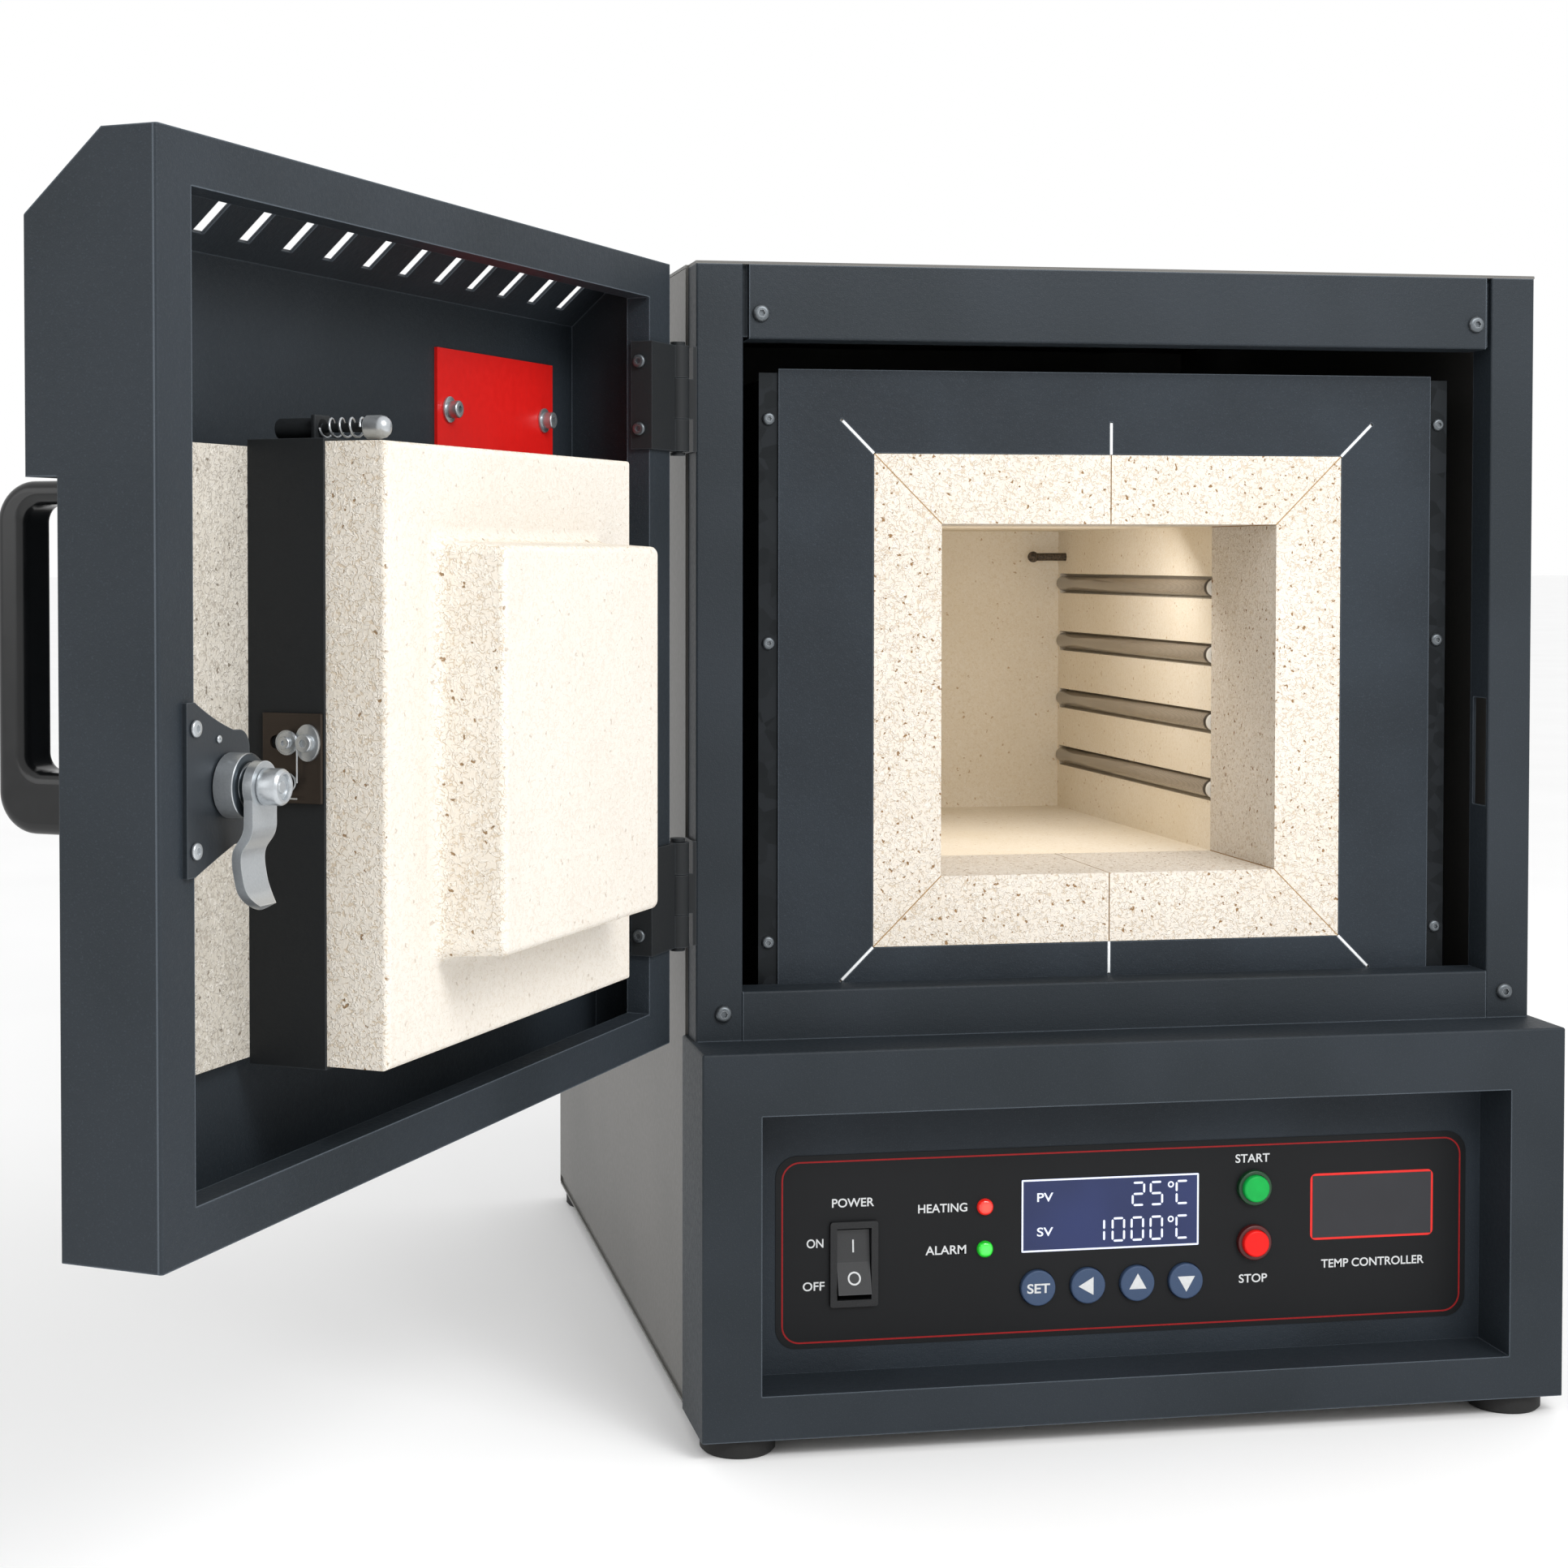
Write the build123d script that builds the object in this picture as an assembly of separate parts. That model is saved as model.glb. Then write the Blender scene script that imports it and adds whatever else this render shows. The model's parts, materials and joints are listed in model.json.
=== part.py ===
from build123d import *
import os
from math import atan2, degrees

# Bench muffle furnace: a heated ceramic chamber in a ventilated steel casing, on a control box,
# with a side-hung door that carries a ceramic block. Millimetres, +Z up, front towards -Y.
# The origin is the middle of the front left foot's underside.

# Casing
CASE_W = 450.0          # across the two front posts
CASE_H = 392.5          # from the ledge to the top
CASE_D = 510.0          # from the front posts to the rear cover
BOX_SIDE = 3.0          # the control box stands out this far at each side
BOX_H = 192.5           # control box without its feet
LEDGE = 34.0            # the control box stands out this far in front of the posts
SHEET = 1.5             # sheet steel of casing and door
FOOT_H = 10.0
FOOT_R = 19.0
FOOT_IN = 22.0          # from the control box's side and front to a foot's axis
POST_W = 24.0
POST_SIDE = 22.0        # the post's side that the side cover leaves bare
TOP_RAIL_H = 39.0
BOTTOM_RAIL_H = 25.0
RAIL_GAP = 3.0          # groove between the top rail and each post
RAIL_DEPTH = 20.0
SEAM = 0.5              # gap between neighbouring covers
EDGE_R = 1.2            # outer bend of the folded sheets

# Chamber and its insulation
CHAMBER = 183.0         # width and height of the chamber
CHAMBER_UP = 170.0      # chamber axis above the ledge
LINER = 36.0            # thickness of the ceramic boards
COLLAR_D = 90.0         # depth of the mitred collar at the mouth
WALL_D = 270.0          # depth of the boards behind the collar
RECESS = 22.5           # face plate behind the posts' front
WRAP_SIDE = 47.5        # fibre insulation beside the boards
WRAP_TOP = 40.0
WRAP_BOTTOM = 35.0
WRAP_BACK = 45.0
CASING_T = 1.0          # steel shell round the insulation
FLANGE_W = 12.0
CRADLE_H = 6.5
PLATE_W = 356.0
PLATE_DROP = 52.0       # top of the face plate under the casing's top
PLATE_UP = 5.0          # bottom of the face plate above the ledge
SLOT_W = 1.6            # expansion slots in the face plate
SLOT_RUN = 17.0
ROD_R = 5.0
GROOVE_R = 6.5
ROD_PITCH = 38.0
ROD_COUNT = 4
ROD_SINK = 1.0          # rod axis behind the wall's face
PROBE_R = 2.5
PROBE_OUT = 22.0        # thermocouple tip in front of the right wall

# Door, in the closed position
DOOR_OPEN = 122.0       # degrees that the door stands open in the rest pose
DOOR_W = 455.0
DOOR_SIDE = 2.0         # the door's hinge side lies this far outside the post
DOOR_LOW = 2.0          # clearance over the ledge
DOOR_TOP = 3.5          # the door's top lies this far under the casing's top
RIM_GAP = 4.0           # rim plane in front of the posts
PAN_D = 41.0
HOOD_D = 54.0           # the upper part of the pan is deeper
HOOD_UP = 269.5         # the hood's lower edge above the door's bottom
CHAMFER_D = 32.0
CHAMFER_H = 28.5
FLANGE_FREE = 21.0
FLANGE_HINGE = 26.0
FLANGE_TOP = 18.5
LIP = 12.0              # inward fold of the rim
VENT_COUNT = 13
VENT_PITCH = 32.6
VENT_W = 8.5
VENT_L = 24.0
BLOCK_W = 232.0
BLOCK_H = 235.0
BLOCK_OUT = 26.0        # block face inside the rim plane
PLUG_W = 154.0
PLUG_H = 157.0
PLUG_OUT = 30.0
PLUG_DRAFT = 2.0        # the plug is this much wider at its foot, at each side
PLUG_FILLET = 6.0
TRAY_T = 1.2
TRAY_D = 33.0
BOARD_W = 352.0
BOARD_H = 232.0
RED_W = 124.0
RED_H = 55.0
RED_X = 88.0            # middle of the red plate from the casing's left
RED_UP = 309.0          # its middle above the door's bottom

# Hinges
KNUCKLE_R = 5.8
PIN_R = 2.5
RUN_FIT = 0.06          # radial clearance of a shaft in its bore
HINGE_OUT = 10.0        # hinge axis outside the post
HINGE_FWD = 3.0         # hinge axis in front of the posts
HINGE_H = 52.5
MID_KNUCKLE = 20.6
LEAF_T = 2.0
HINGE_ZS = (75.5, 323.0)    # middle of each hinge above the ledge
LEAF_LEG = 9.0          # leg of the door leaf along the inner fold of the rim
LEAF_SCREW_R = 3.3

# Latch and handle
LATCH_X = 413.0         # latch axis from the casing's left
LATCH_UP = 164.5        # latch axis above the ledge
HUB_R = 11.5
HUB_L = 8.7
NECK_R = 7.0
SPINDLE_R = 5.0
TIP_R = 3.5             # outer end of the spindle
CAP_R = 6.5
CAP_L = 8.0
LEVER_L = 43.0
LEVER_W = 16.0
LEVER_T = 3.6
HANDLE_IN = 27.0        # handle axis from the door's free edge
HANDLE_W = 18.0
HANDLE_T = 12.5
HANDLE_OUT = 39.0
HANDLE_Z = (146.5, 270.8)   # lower and upper end above the ledge
HANDLE_R = 15.0
STUD_X = 325.0          # tray stud from the casing's left

# Control panel
WIN_SIDE = 30.0         # border of the recess, left and right
WIN_TOP = 31.5
WIN_BOTTOM = 22.0
FILM_T = 0.4
ROCKER_W = 25.0
ROCKER_H = 43.6
ROCKER_TILT = 10.0
KEY_R = 9.2
BUTTON_R = 7.0
RING_R = 9.2
LAMP_R = 4.3
FIT = 0.4               # clearance of a part in its panel cut-out

# Places that follow from the sizes
BOX_X0 = -FOOT_IN
BOX_X1 = BOX_X0 + CASE_W + 2 * BOX_SIDE
BOX_Y0 = -FOOT_IN
X0 = BOX_X0 + BOX_SIDE
X1 = X0 + CASE_W
XC = (X0 + X1) / 2
Y0 = BOX_Y0 + LEDGE
Y1 = Y0 + CASE_D
Z_BASE = FOOT_H
Z_LEDGE = FOOT_H + BOX_H
Z_TOP = Z_LEDGE + CASE_H
ZC = Z_LEDGE + CHAMBER_UP
HALF = CHAMBER / 2
OUTER = HALF + LINER
FACE_Y = Y0 + RECESS
WALL_Y0 = FACE_Y + COLLAR_D
WALL_Y1 = WALL_Y0 + WALL_D
BACK_Y1 = WALL_Y1 + LINER
WRAP_Y1 = BACK_Y1 + WRAP_BACK
SHELL_X = OUTER + WRAP_SIDE + CASING_T
SHELL_Z0 = Z_LEDGE + CRADLE_H
SHELL_Z1 = ZC + OUTER + WRAP_TOP + CASING_T
PANEL_Y = Y0
PROBE_Y = WALL_Y1 - 14
PROBE_Z = ZC + HALF - 17
WIN_X0, WIN_X1 = BOX_X0 + WIN_SIDE, BOX_X1 - WIN_SIDE
WIN_Z0, WIN_Z1 = Z_BASE + WIN_BOTTOM, Z_LEDGE - WIN_TOP

HINGE_X = X0 - HINGE_OUT
HINGE_Y = Y0 - HINGE_FWD
RIM_Y = Y0 - RIM_GAP
DOOR_X0 = X0 - DOOR_SIDE
DOOR_X1 = DOOR_X0 + DOOR_W
DOOR_Z0 = Z_LEDGE + DOOR_LOW
DOOR_Z1 = Z_TOP - DOOR_TOP
LX, LZ = X0 + LATCH_X, Z_LEDGE + LATCH_UP
LID_Z = Z_TOP - SHEET

SMALL_R = 2.0           # shank radius of the small screws
BIG_R = 2.5             # shank radius of the casing screws
HOLE_FIT = 0.15


def block(x0, x1, y0, y1, z0, z1):
    return Pos((x0 + x1) / 2, (y0 + y1) / 2, (z0 + z1) / 2) * Box(x1 - x0, y1 - y0, z1 - z0)


def rod_x(x0, x1, y, z, r):
    return Pos((x0 + x1) / 2, y, z) * Rot(0, 90, 0) * Cylinder(r, x1 - x0)


def rod_y(x, y0, y1, z, r):
    return Pos(x, (y0 + y1) / 2, z) * Rot(90, 0, 0) * Cylinder(r, y1 - y0)


def rod_z(x, y, z0, z1, r):
    return Pos(x, y, (z0 + z1) / 2) * Cylinder(r, z1 - z0)


def soften(shape, axis, spots, r):
    """Rounds the edges along an axis, or along any, whose middles lie nearest to the given spots."""
    edges = shape.edges().filter_by(axis) if axis else shape.edges()
    picked = [min(edges, key=lambda e: (e.center() - Vector(*spot)).length) for spot in spots]
    return fillet(picked, r)


def save(name, *solids):
    shape = solids[0] if len(solids) == 1 else Compound(children=list(solids))
    export_step(shape, f"parts/{name}.step")


def opened(shape):
    """Turns a piece of the closed door to where it stands open."""
    return shape.rotate(Axis((HINGE_X, HINGE_Y, 0), (0, 0, 1)), -DOOR_OPEN)


def save_door(name, *solids):
    save(name, *[opened(s) for s in solids])


def button_screw(x, y, z, head_r, shank_r, length):
    """A socket button head on a seat that faces -Y, with its shank behind."""
    head_h = 0.55 * head_r
    head = rod_y(x, y - head_h, y, z, head_r)
    head = fillet(head.edges().sort_by(Axis.Y)[0], head_h * 0.8)
    socket = Pos(x, y - head_h, z) * Rot(90, 0, 0) * extrude(RegularPolygon(head_r * 0.42, 6), -head_h * 0.6)
    return head - socket + rod_y(x, y, y + length, z, shank_r)


# Feet and base
def feet():
    pads = []
    for x in (0, BOX_X1 - FOOT_IN):
        for y in (0, Y1 - FOOT_IN):
            pad = rod_z(x, y, 0, FOOT_H, FOOT_R)
            pad = chamfer(pad.edges().sort_by(Axis.Z)[0], 1.5)
            pads.append(pad)
    return pads


def base_plate():
    lip = 18.5
    plate = block(BOX_X0 + SHEET, BOX_X1 - SHEET, BOX_Y0 + SHEET, Y1 - SHEET, Z_BASE, Z_BASE + SHEET)
    for x in (X0, X1 - SHEET):
        plate += block(x, x + SHEET, Y0 + POST_SIDE, Y1 - SHEET, Z_BASE, Z_BASE + lip)
    for row in (0.3, 0.7):
        for k in range(7):
            slot = Pos(XC + (k - 3) * 26, Y0 + row * CASE_D, Z_BASE) * Box(8, 60, 4 * SHEET)
            plate -= slot
    return plate


# Control box
def control_bezel():
    """Folded front of the control box: face with a deep window, sides and the ledge on top."""
    y1 = Y0 + POST_SIDE - SEAM
    outer = block(BOX_X0, BOX_X1, BOX_Y0, y1, Z_BASE, Z_LEDGE)
    mid_y, mid_x, mid_z = (BOX_Y0 + y1) / 2, XC, (Z_BASE + Z_LEDGE) / 2
    outer = soften(outer, None, [(BOX_X0, BOX_Y0, mid_z), (BOX_X1, BOX_Y0, mid_z), (mid_x, BOX_Y0, Z_LEDGE),
                                 (BOX_X0, mid_y, Z_LEDGE), (BOX_X1, mid_y, Z_LEDGE)], EDGE_R)
    hollow = block(BOX_X0 + SHEET, BOX_X1 - SHEET, BOX_Y0 + SHEET, y1, Z_BASE, Z_LEDGE - SHEET)
    shell = outer - hollow
    duct = block(WIN_X0 - SHEET, WIN_X1 + SHEET, BOX_Y0 + SHEET, PANEL_Y, WIN_Z0 - SHEET, WIN_Z1 + SHEET)
    window = block(WIN_X0, WIN_X1, BOX_Y0 - 1, PANEL_Y + 1, WIN_Z0, WIN_Z1)
    return shell + duct - window


PANEL_MARGIN = 6.0
FILM = (44 - 3, 412 + 3, 44.5, 143.0)     # left, right from the casing's left; bottom, top above the bench
FILM_R = 11.0
ROCKER_AT = (81.6, 87.0)
LAMPS_AT = ((150.9, 113.2), (150.9, 91.4))
DISPLAY = (170.2, 266.4, 88.4, 126.4)
KEYS_AT = ((179.0, 70.2), (205.8, 70.2), (232.5, 70.2), (258.9, 70.2))
START_AT, STOP_AT = (296.4, 117.5), (296.4, 88.8)
CONTROLLER = (328.9, 395.5, 89.2, 122.2)


def panel_holes(y0, y1):
    """Everything that passes through the panel and the film on it."""
    holes = [block(X0 + ROCKER_AT[0] - ROCKER_W / 2 + 2, X0 + ROCKER_AT[0] + ROCKER_W / 2 - 2, y0, y1,
                   ROCKER_AT[1] - ROCKER_H / 2 + 2, ROCKER_AT[1] + ROCKER_H / 2 - 2)]
    for x, z in LAMPS_AT:
        holes.append(rod_y(X0 + x, y0, y1, z, LAMP_R - 0.7))
    for x, z in KEYS_AT:
        holes.append(rod_y(X0 + x, y0, y1, z, KEY_R + FIT))
    for x, z in (START_AT, STOP_AT):
        holes.append(rod_y(X0 + x, y0, y1, z, RING_R - 1.0))
    for left, right, low, high in (DISPLAY, CONTROLLER):
        holes.append(block(X0 + left, X0 + right, y0, y1, low, high))
    return holes


def control_panel():
    plate = block(WIN_X0 - PANEL_MARGIN, WIN_X1 + PANEL_MARGIN, PANEL_Y, PANEL_Y + SHEET,
                  WIN_Z0 - PANEL_MARGIN, WIN_Z1 + PANEL_MARGIN)
    return plate - panel_holes(PANEL_Y - 1, PANEL_Y + 2 * SHEET)


def panel_overlay():
    left, right, low, high = FILM
    outline = RectangleRounded(right - left, high - low, FILM_R)
    film = extrude(Plane.XZ * outline, FILM_T)
    film = Pos(X0 + (left + right) / 2, PANEL_Y, (low + high) / 2) * film
    return film - panel_holes(PANEL_Y - 3, PANEL_Y + 3)


def rocker_bezel():
    x, z = X0 + ROCKER_AT[0], ROCKER_AT[1]
    face_y = PANEL_Y - FILM_T
    bezel = block(x - ROCKER_W / 2, x + ROCKER_W / 2, face_y - 2, face_y, z - ROCKER_H / 2, z + ROCKER_H / 2)
    bezel = fillet(bezel.edges().filter_by(Axis.Y), 1.5)
    body_w, body_h = ROCKER_W / 2 - 2 - 0.2, ROCKER_H / 2 - 2 - 0.2
    bezel += block(x - body_w, x + body_w, face_y, face_y + 18, z - body_h, z + body_h)
    bore_w, bore_h = body_w - 1.3, body_h - 1.3
    return bezel - block(x - bore_w, x + bore_w, face_y - 3, face_y + 15, z - bore_h, z + bore_h)


def rocker_paddle():
    """A rocker with two flat faces that meet in a shallow V, tilted to its upper end."""
    x, z = X0 + ROCKER_AT[0], ROCKER_AT[1]
    face_y = PANEL_Y - FILM_T
    half_w, half_h = ROCKER_W / 2 - 2 - 0.2 - 1.3 - 0.4, 16.2
    side = make_face(Polyline((-3.2, 0), (-4.9, half_h), (3.5, half_h - 1.5), (9.0, 5.0), (9.0, -5.0),
                              (3.5, 1.5 - half_h), (-4.9, -half_h), close=True))
    paddle = extrude(Plane.YZ * side, half_w, both=True)
    return Pos(x, face_y + 3.6, z) * Rot(-ROCKER_TILT, 0, 0) * paddle


def lamp(at):
    x, z = X0 + at[0], at[1]
    face_y = PANEL_Y - FILM_T
    dome = rod_y(x, face_y - 2.6, face_y, z, LAMP_R)
    dome = fillet(dome.edges().sort_by(Axis.Y)[0], 2.2)
    return dome + rod_y(x, face_y, face_y + 8, z, LAMP_R - 0.9)


def key(at):
    face_y = PANEL_Y - FILM_T
    cap = rod_y(X0 + at[0], face_y - 2.4, PANEL_Y + 4, at[1], KEY_R)
    return fillet(cap.edges().sort_by(Axis.Y)[0], 0.8)


def push_button(at):
    face_y = PANEL_Y - FILM_T
    cap = rod_y(X0 + at[0], face_y - 5.5, PANEL_Y + 9, at[1], BUTTON_R)
    return fillet(cap.edges().sort_by(Axis.Y)[0], 1.2)


def button_ring(at):
    x, z = X0 + at[0], at[1]
    face_y = PANEL_Y - FILM_T
    ring = rod_y(x, face_y - 3, face_y, z, RING_R)
    ring = fillet(ring.edges().sort_by(Axis.Y)[0], 0.8)
    ring += rod_y(x, face_y, PANEL_Y + 14, z, RING_R - 1.1)
    return ring - rod_y(x, face_y - 4, PANEL_Y + 12, z, BUTTON_R + 0.3)


def module(window, depth, flange):
    """A panel instrument: window flush in its cut-out, closed case behind the panel."""
    left, right, low, high = window
    case = block(X0 + left + 0.2, X0 + right - 0.2, PANEL_Y - FILM_T - 0.3, PANEL_Y + SHEET, low + 0.2, high - 0.2)
    return case + block(X0 + left - flange, X0 + right + flange, PANEL_Y + SHEET, PANEL_Y + depth,
                        low - flange, high + flange)


def display_module():
    """Display with its circuit board, which reaches down behind the four keys."""
    y0 = PANEL_Y + 6.5
    left, right, low, high = X0 + 165, X0 + 272, 57, 130
    board = block(left, right, y0, y0 + 1.6, low, high)
    for x in (left + 3, right - 3):
        for z in (low + 2.5, high - 2.0):
            board += rod_y(x, PANEL_Y + SHEET, y0, z, 1.8)
    return module(DISPLAY, 12, 0.0) + board


# Electrics in the control box
FLOOR_Z = Z_BASE + SHEET


def heat_sink():
    x0, y0 = X0 + 70, Y0 + 150
    sink = block(x0, x0 + 100, y0, y0 + 110, FLOOR_Z, FLOOR_Z + 8)
    for k in range(9):
        fin_x = x0 + 2 + k * 11.75
        sink += block(fin_x, fin_x + 2, y0, y0 + 110, FLOOR_Z + 8, FLOOR_Z + 40)
    return sink


def relay():
    x0, y0, z0 = X0 + 97, Y0 + 175, FLOOR_Z + 40
    case = block(x0, x0 + 46, y0, y0 + 60, z0, z0 + 24)
    for dx, dy in ((6, 6), (40, 6), (6, 54), (40, 54)):
        case += rod_z(x0 + dx, y0 + dy, z0 + 24, z0 + 27, 3.5)
    return case


def terminal_block():
    x0, y0 = X1 - 150, Y1 - 90
    body = block(x0, x0 + 96, y0, y0 + 28, FLOOR_Z, FLOOR_Z + 26)
    for k in range(6):
        body -= rod_z(x0 + 8 + 16 * k, y0 + 14, FLOOR_Z + 18, FLOOR_Z + 30, 4.5)
    return body


# Deck over the control box, and the cradle that the hot shell stands on
def deck_plate():
    deck = block(X0, X1, Y0 + POST_SIDE, Y1 - SHEET, Z_LEDGE - SHEET, Z_LEDGE)
    for side in (-1, 1):
        x = XC + side * 120
        deck += block(x - 12, x + 12, FACE_Y + 15, WRAP_Y1 - 15, Z_LEDGE, Z_LEDGE + CRADLE_H)
    for side in (-1, 1):
        for k in range(8):
            deck -= Pos(XC + side * 205, Y0 + 60 + 50 * k, Z_LEDGE) * Box(8, 34, 4 * SHEET)
    return deck


# Covers
def side_cover(outer_x, inner_x):
    lo, hi = min(outer_x, inner_x), max(outer_x, inner_x)
    cover = block(lo, hi, Y0 + POST_SIDE, Y1 - SHEET, Z_BASE + 6, LID_Z)
    mid_y = (Y0 + POST_SIDE + Y1 - SHEET) / 2
    return soften(cover, Axis.Y, [(outer_x, mid_y, LID_Z), (outer_x, mid_y, Z_BASE + 6)], 0.7)


def top_cover():
    lid = block(X0, X1, Y0, Y1, LID_Z, Z_TOP) + block(X0 - SHEET, X1 + SHEET, Y0 + POST_SIDE, Y1, LID_Z, Z_TOP)
    return soften(lid, Axis.X, [(XC, Y0, Z_TOP)], 0.8)


GLAND_X, GLAND_Z, GLAND_R = X1 - 70, 62.0, 10.0


def rear_cover():
    y0 = Y1 - SHEET
    cover = block(X0 - SHEET, X1 + SHEET, y0, Y1, FLOOR_Z, LID_Z)
    for low, rows in ((Z_BASE + 110, 4), (Z_TOP - 130, 6)):
        for row in range(rows):
            for col in range(4):
                z = low + 14 * row
                x = XC + (col - 1.5) * 88
                cover -= block(x - 36, x + 36, y0 - 1, Y1 + 1, z, z + 3.5)
                hood = make_face(Polyline((0, 0), (0, 7.5), (5.0, 0), (3.8, 0), (0, 5.6), close=True))
                hood = Pos(x - 36, Y1, z + 0.6) * extrude(Plane.YZ * hood, 72)
                cover += hood
    return cover - rod_y(GLAND_X, y0 - 1, Y1 + 1, GLAND_Z, GLAND_R + HOLE_FIT)


GLAND_BORE = 5.0
GLAND_L = 34.0


def cable_gland():
    gland = rod_y(GLAND_X, Y1 - 14, Y1 + 2, GLAND_Z, GLAND_R)
    nut = Pos(GLAND_X, Y1, GLAND_Z) * Rot(-90, 0, 0) * extrude(RegularPolygon(14, 6), 7)
    dome = rod_y(GLAND_X, Y1 + 7, Y1 - 14 + GLAND_L, GLAND_Z, 10.5)
    dome = fillet(dome.edges().sort_by(Axis.Y)[-1], 3.5)
    return gland + nut + dome - rod_y(GLAND_X, Y1 - 20, Y1 + 40, GLAND_Z, GLAND_BORE)


# Front frame
KEEPER_Z = (LZ - 52, LZ + 5)
FRONT_SCREW_R = 4.4
SCREW_IN = 33.0         # top screws from the post's outer face
LOW_SCREW_IN = 14.0
FRONT_SCREWS = ((X0 + SCREW_IN, Z_TOP - 26), (X1 - SCREW_IN, Z_TOP - 26),
                (X0 + LOW_SCREW_IN, Z_LEDGE + 14), (X1 - LOW_SCREW_IN, Z_LEDGE + 14))


def front_screw_holes():
    return [rod_y(x, Y0 - 1, Y0 + 2 * SHEET, z, BIG_R + HOLE_FIT) for x, z in FRONT_SCREWS]


def post(side):
    """Channel of folded sheet; side is -1 at the hinges and 1 at the latch."""
    outer_x = X0 if side < 0 else X1
    inner_x = outer_x - side * POST_W
    lo, hi = min(outer_x, inner_x), max(outer_x, inner_x)
    web = block(lo, hi, Y0, Y0 + SHEET, Z_LEDGE, LID_Z)
    wall = block(*sorted((outer_x, outer_x - side * SHEET)), Y0, Y0 + POST_SIDE + 18, Z_LEDGE, LID_Z)
    lip = block(*sorted((inner_x, inner_x + side * SHEET)), Y0, Y0 + RAIL_DEPTH, Z_LEDGE, LID_Z)
    channel = web + wall + lip
    mid_z = (Z_LEDGE + LID_Z) / 2
    channel = soften(channel, Axis.Z, [(outer_x, Y0, mid_z), (inner_x, Y0, mid_z)], EDGE_R)
    if side > 0:
        keeper = block(inner_x - 1, inner_x + 2 * SHEET, Y0 + 2.5, Y0 + RAIL_DEPTH - 3, *KEEPER_Z)
        channel -= keeper
    return channel - front_screw_holes()


def top_rail():
    x0, x1 = X0 + POST_W + RAIL_GAP, X1 - POST_W - RAIL_GAP
    z0 = Z_TOP - TOP_RAIL_H
    rail = block(x0, x1, Y0, Y0 + SHEET, z0, LID_Z)
    rail += block(x0, x1, Y0, Y0 + RAIL_DEPTH, z0, z0 + SHEET)
    rail = soften(rail, Axis.X, [(XC, Y0, z0)], EDGE_R)
    for a, b in ((X0 + POST_W, x0 + SHEET), (x1 - SHEET, X1 - POST_W)):
        rail += block(a, b, Y0 + SHEET + 3, Y0 + 2 * SHEET + 3, z0 + SHEET, LID_Z)
    for x in (x0, x1 - SHEET):
        rail += block(x, x + SHEET, Y0 + SHEET, Y0 + SHEET + 3, z0 + SHEET, LID_Z)
    return rail - front_screw_holes()


def bottom_rail():
    x0, x1 = X0 + POST_W, X1 - POST_W
    z1 = Z_LEDGE + BOTTOM_RAIL_H
    rail = block(x0, x1, Y0, Y0 + SHEET, Z_LEDGE, z1) + block(x0, x1, Y0, Y0 + RAIL_DEPTH, z1 - SHEET, z1)
    return soften(rail, Axis.X, [(XC, Y0, z1)], EDGE_R)


# Face plate and the steel shell round the insulation
PLATE_T = 1.5
PLATE_Y = FACE_Y + PLATE_T
FLANGE_SCREW_ZS = (-124.0, 30.0, 145.0)     # below and above the chamber axis


def face_plate():
    plate = block(XC - PLATE_W / 2, XC + PLATE_W / 2, FACE_Y, PLATE_Y, Z_LEDGE + PLATE_UP, Z_TOP - PLATE_DROP)
    edge = OUTER + 0.3
    plate -= block(XC - edge, XC + edge, FACE_Y - 1, PLATE_Y + 1, ZC - edge, ZC + edge)
    for sx in (-1, 1):
        for sz in (-1, 1):
            slot = Box(SLOT_RUN * 2.6, 4 * PLATE_T, SLOT_W)
            mid = edge + SLOT_RUN * 0.1
            plate -= Pos(XC + sx * mid, FACE_Y, ZC + sz * mid) * Rot(0, -45 * sx * sz, 0) * slot
    for sz in (-1, 1):
        plate -= Pos(XC, FACE_Y, ZC + sz * edge) * Box(SLOT_W, 4 * PLATE_T, 2 * SLOT_RUN)
    return plate


def muffle_casing():
    y0 = PLATE_Y
    shell = block(XC - SHELL_X, XC + SHELL_X, y0, WRAP_Y1 + CASING_T, SHELL_Z0, SHELL_Z1)
    inner = SHELL_X - CASING_T
    shell -= block(XC - inner, XC + inner, y0 - 1, WRAP_Y1, SHELL_Z0 + CASING_T, SHELL_Z1 - CASING_T)
    for side in (-1, 1):
        x_in, x_out = XC + side * inner, XC + side * (SHELL_X + FLANGE_W)
        flange = block(*sorted((x_in, x_out)), y0, y0 + CASING_T, SHELL_Z0, SHELL_Z1)
        for dz in FLANGE_SCREW_ZS:
            flange -= rod_y(XC + side * (SHELL_X + 7), y0 - 1, y0 + 3, ZC + dz, SMALL_R + HOLE_FIT)
        shell += flange
    probe = rod_x(XC + SHELL_X - 4, XC + SHELL_X + 4, PROBE_Y, PROBE_Z, PROBE_R + FIT)
    return shell - probe


def case_screws():
    screws = [button_screw(x, Y0, z, FRONT_SCREW_R, BIG_R, 8) for x, z in FRONT_SCREWS]
    for side in (-1, 1):
        for dz in FLANGE_SCREW_ZS:
            screws.append(button_screw(XC + side * (SHELL_X + 7), PLATE_Y, ZC + dz, 3.4, SMALL_R, 6))
    return screws


# Ceramic collar in mitred pieces, split in the middle above and below
def collar_side(side):
    """Left or right piece of the collar, a trapezium with its long side outwards."""
    shape = make_face(Polyline((HALF, -HALF), (OUTER, -OUTER), (OUTER, OUTER), (HALF, HALF), close=True))
    shape = shape if side > 0 else mirror(shape, Plane.YZ)
    piece = extrude(Plane.XZ * shape, -COLLAR_D)
    return Pos(XC, FACE_Y, ZC) * piece


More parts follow.
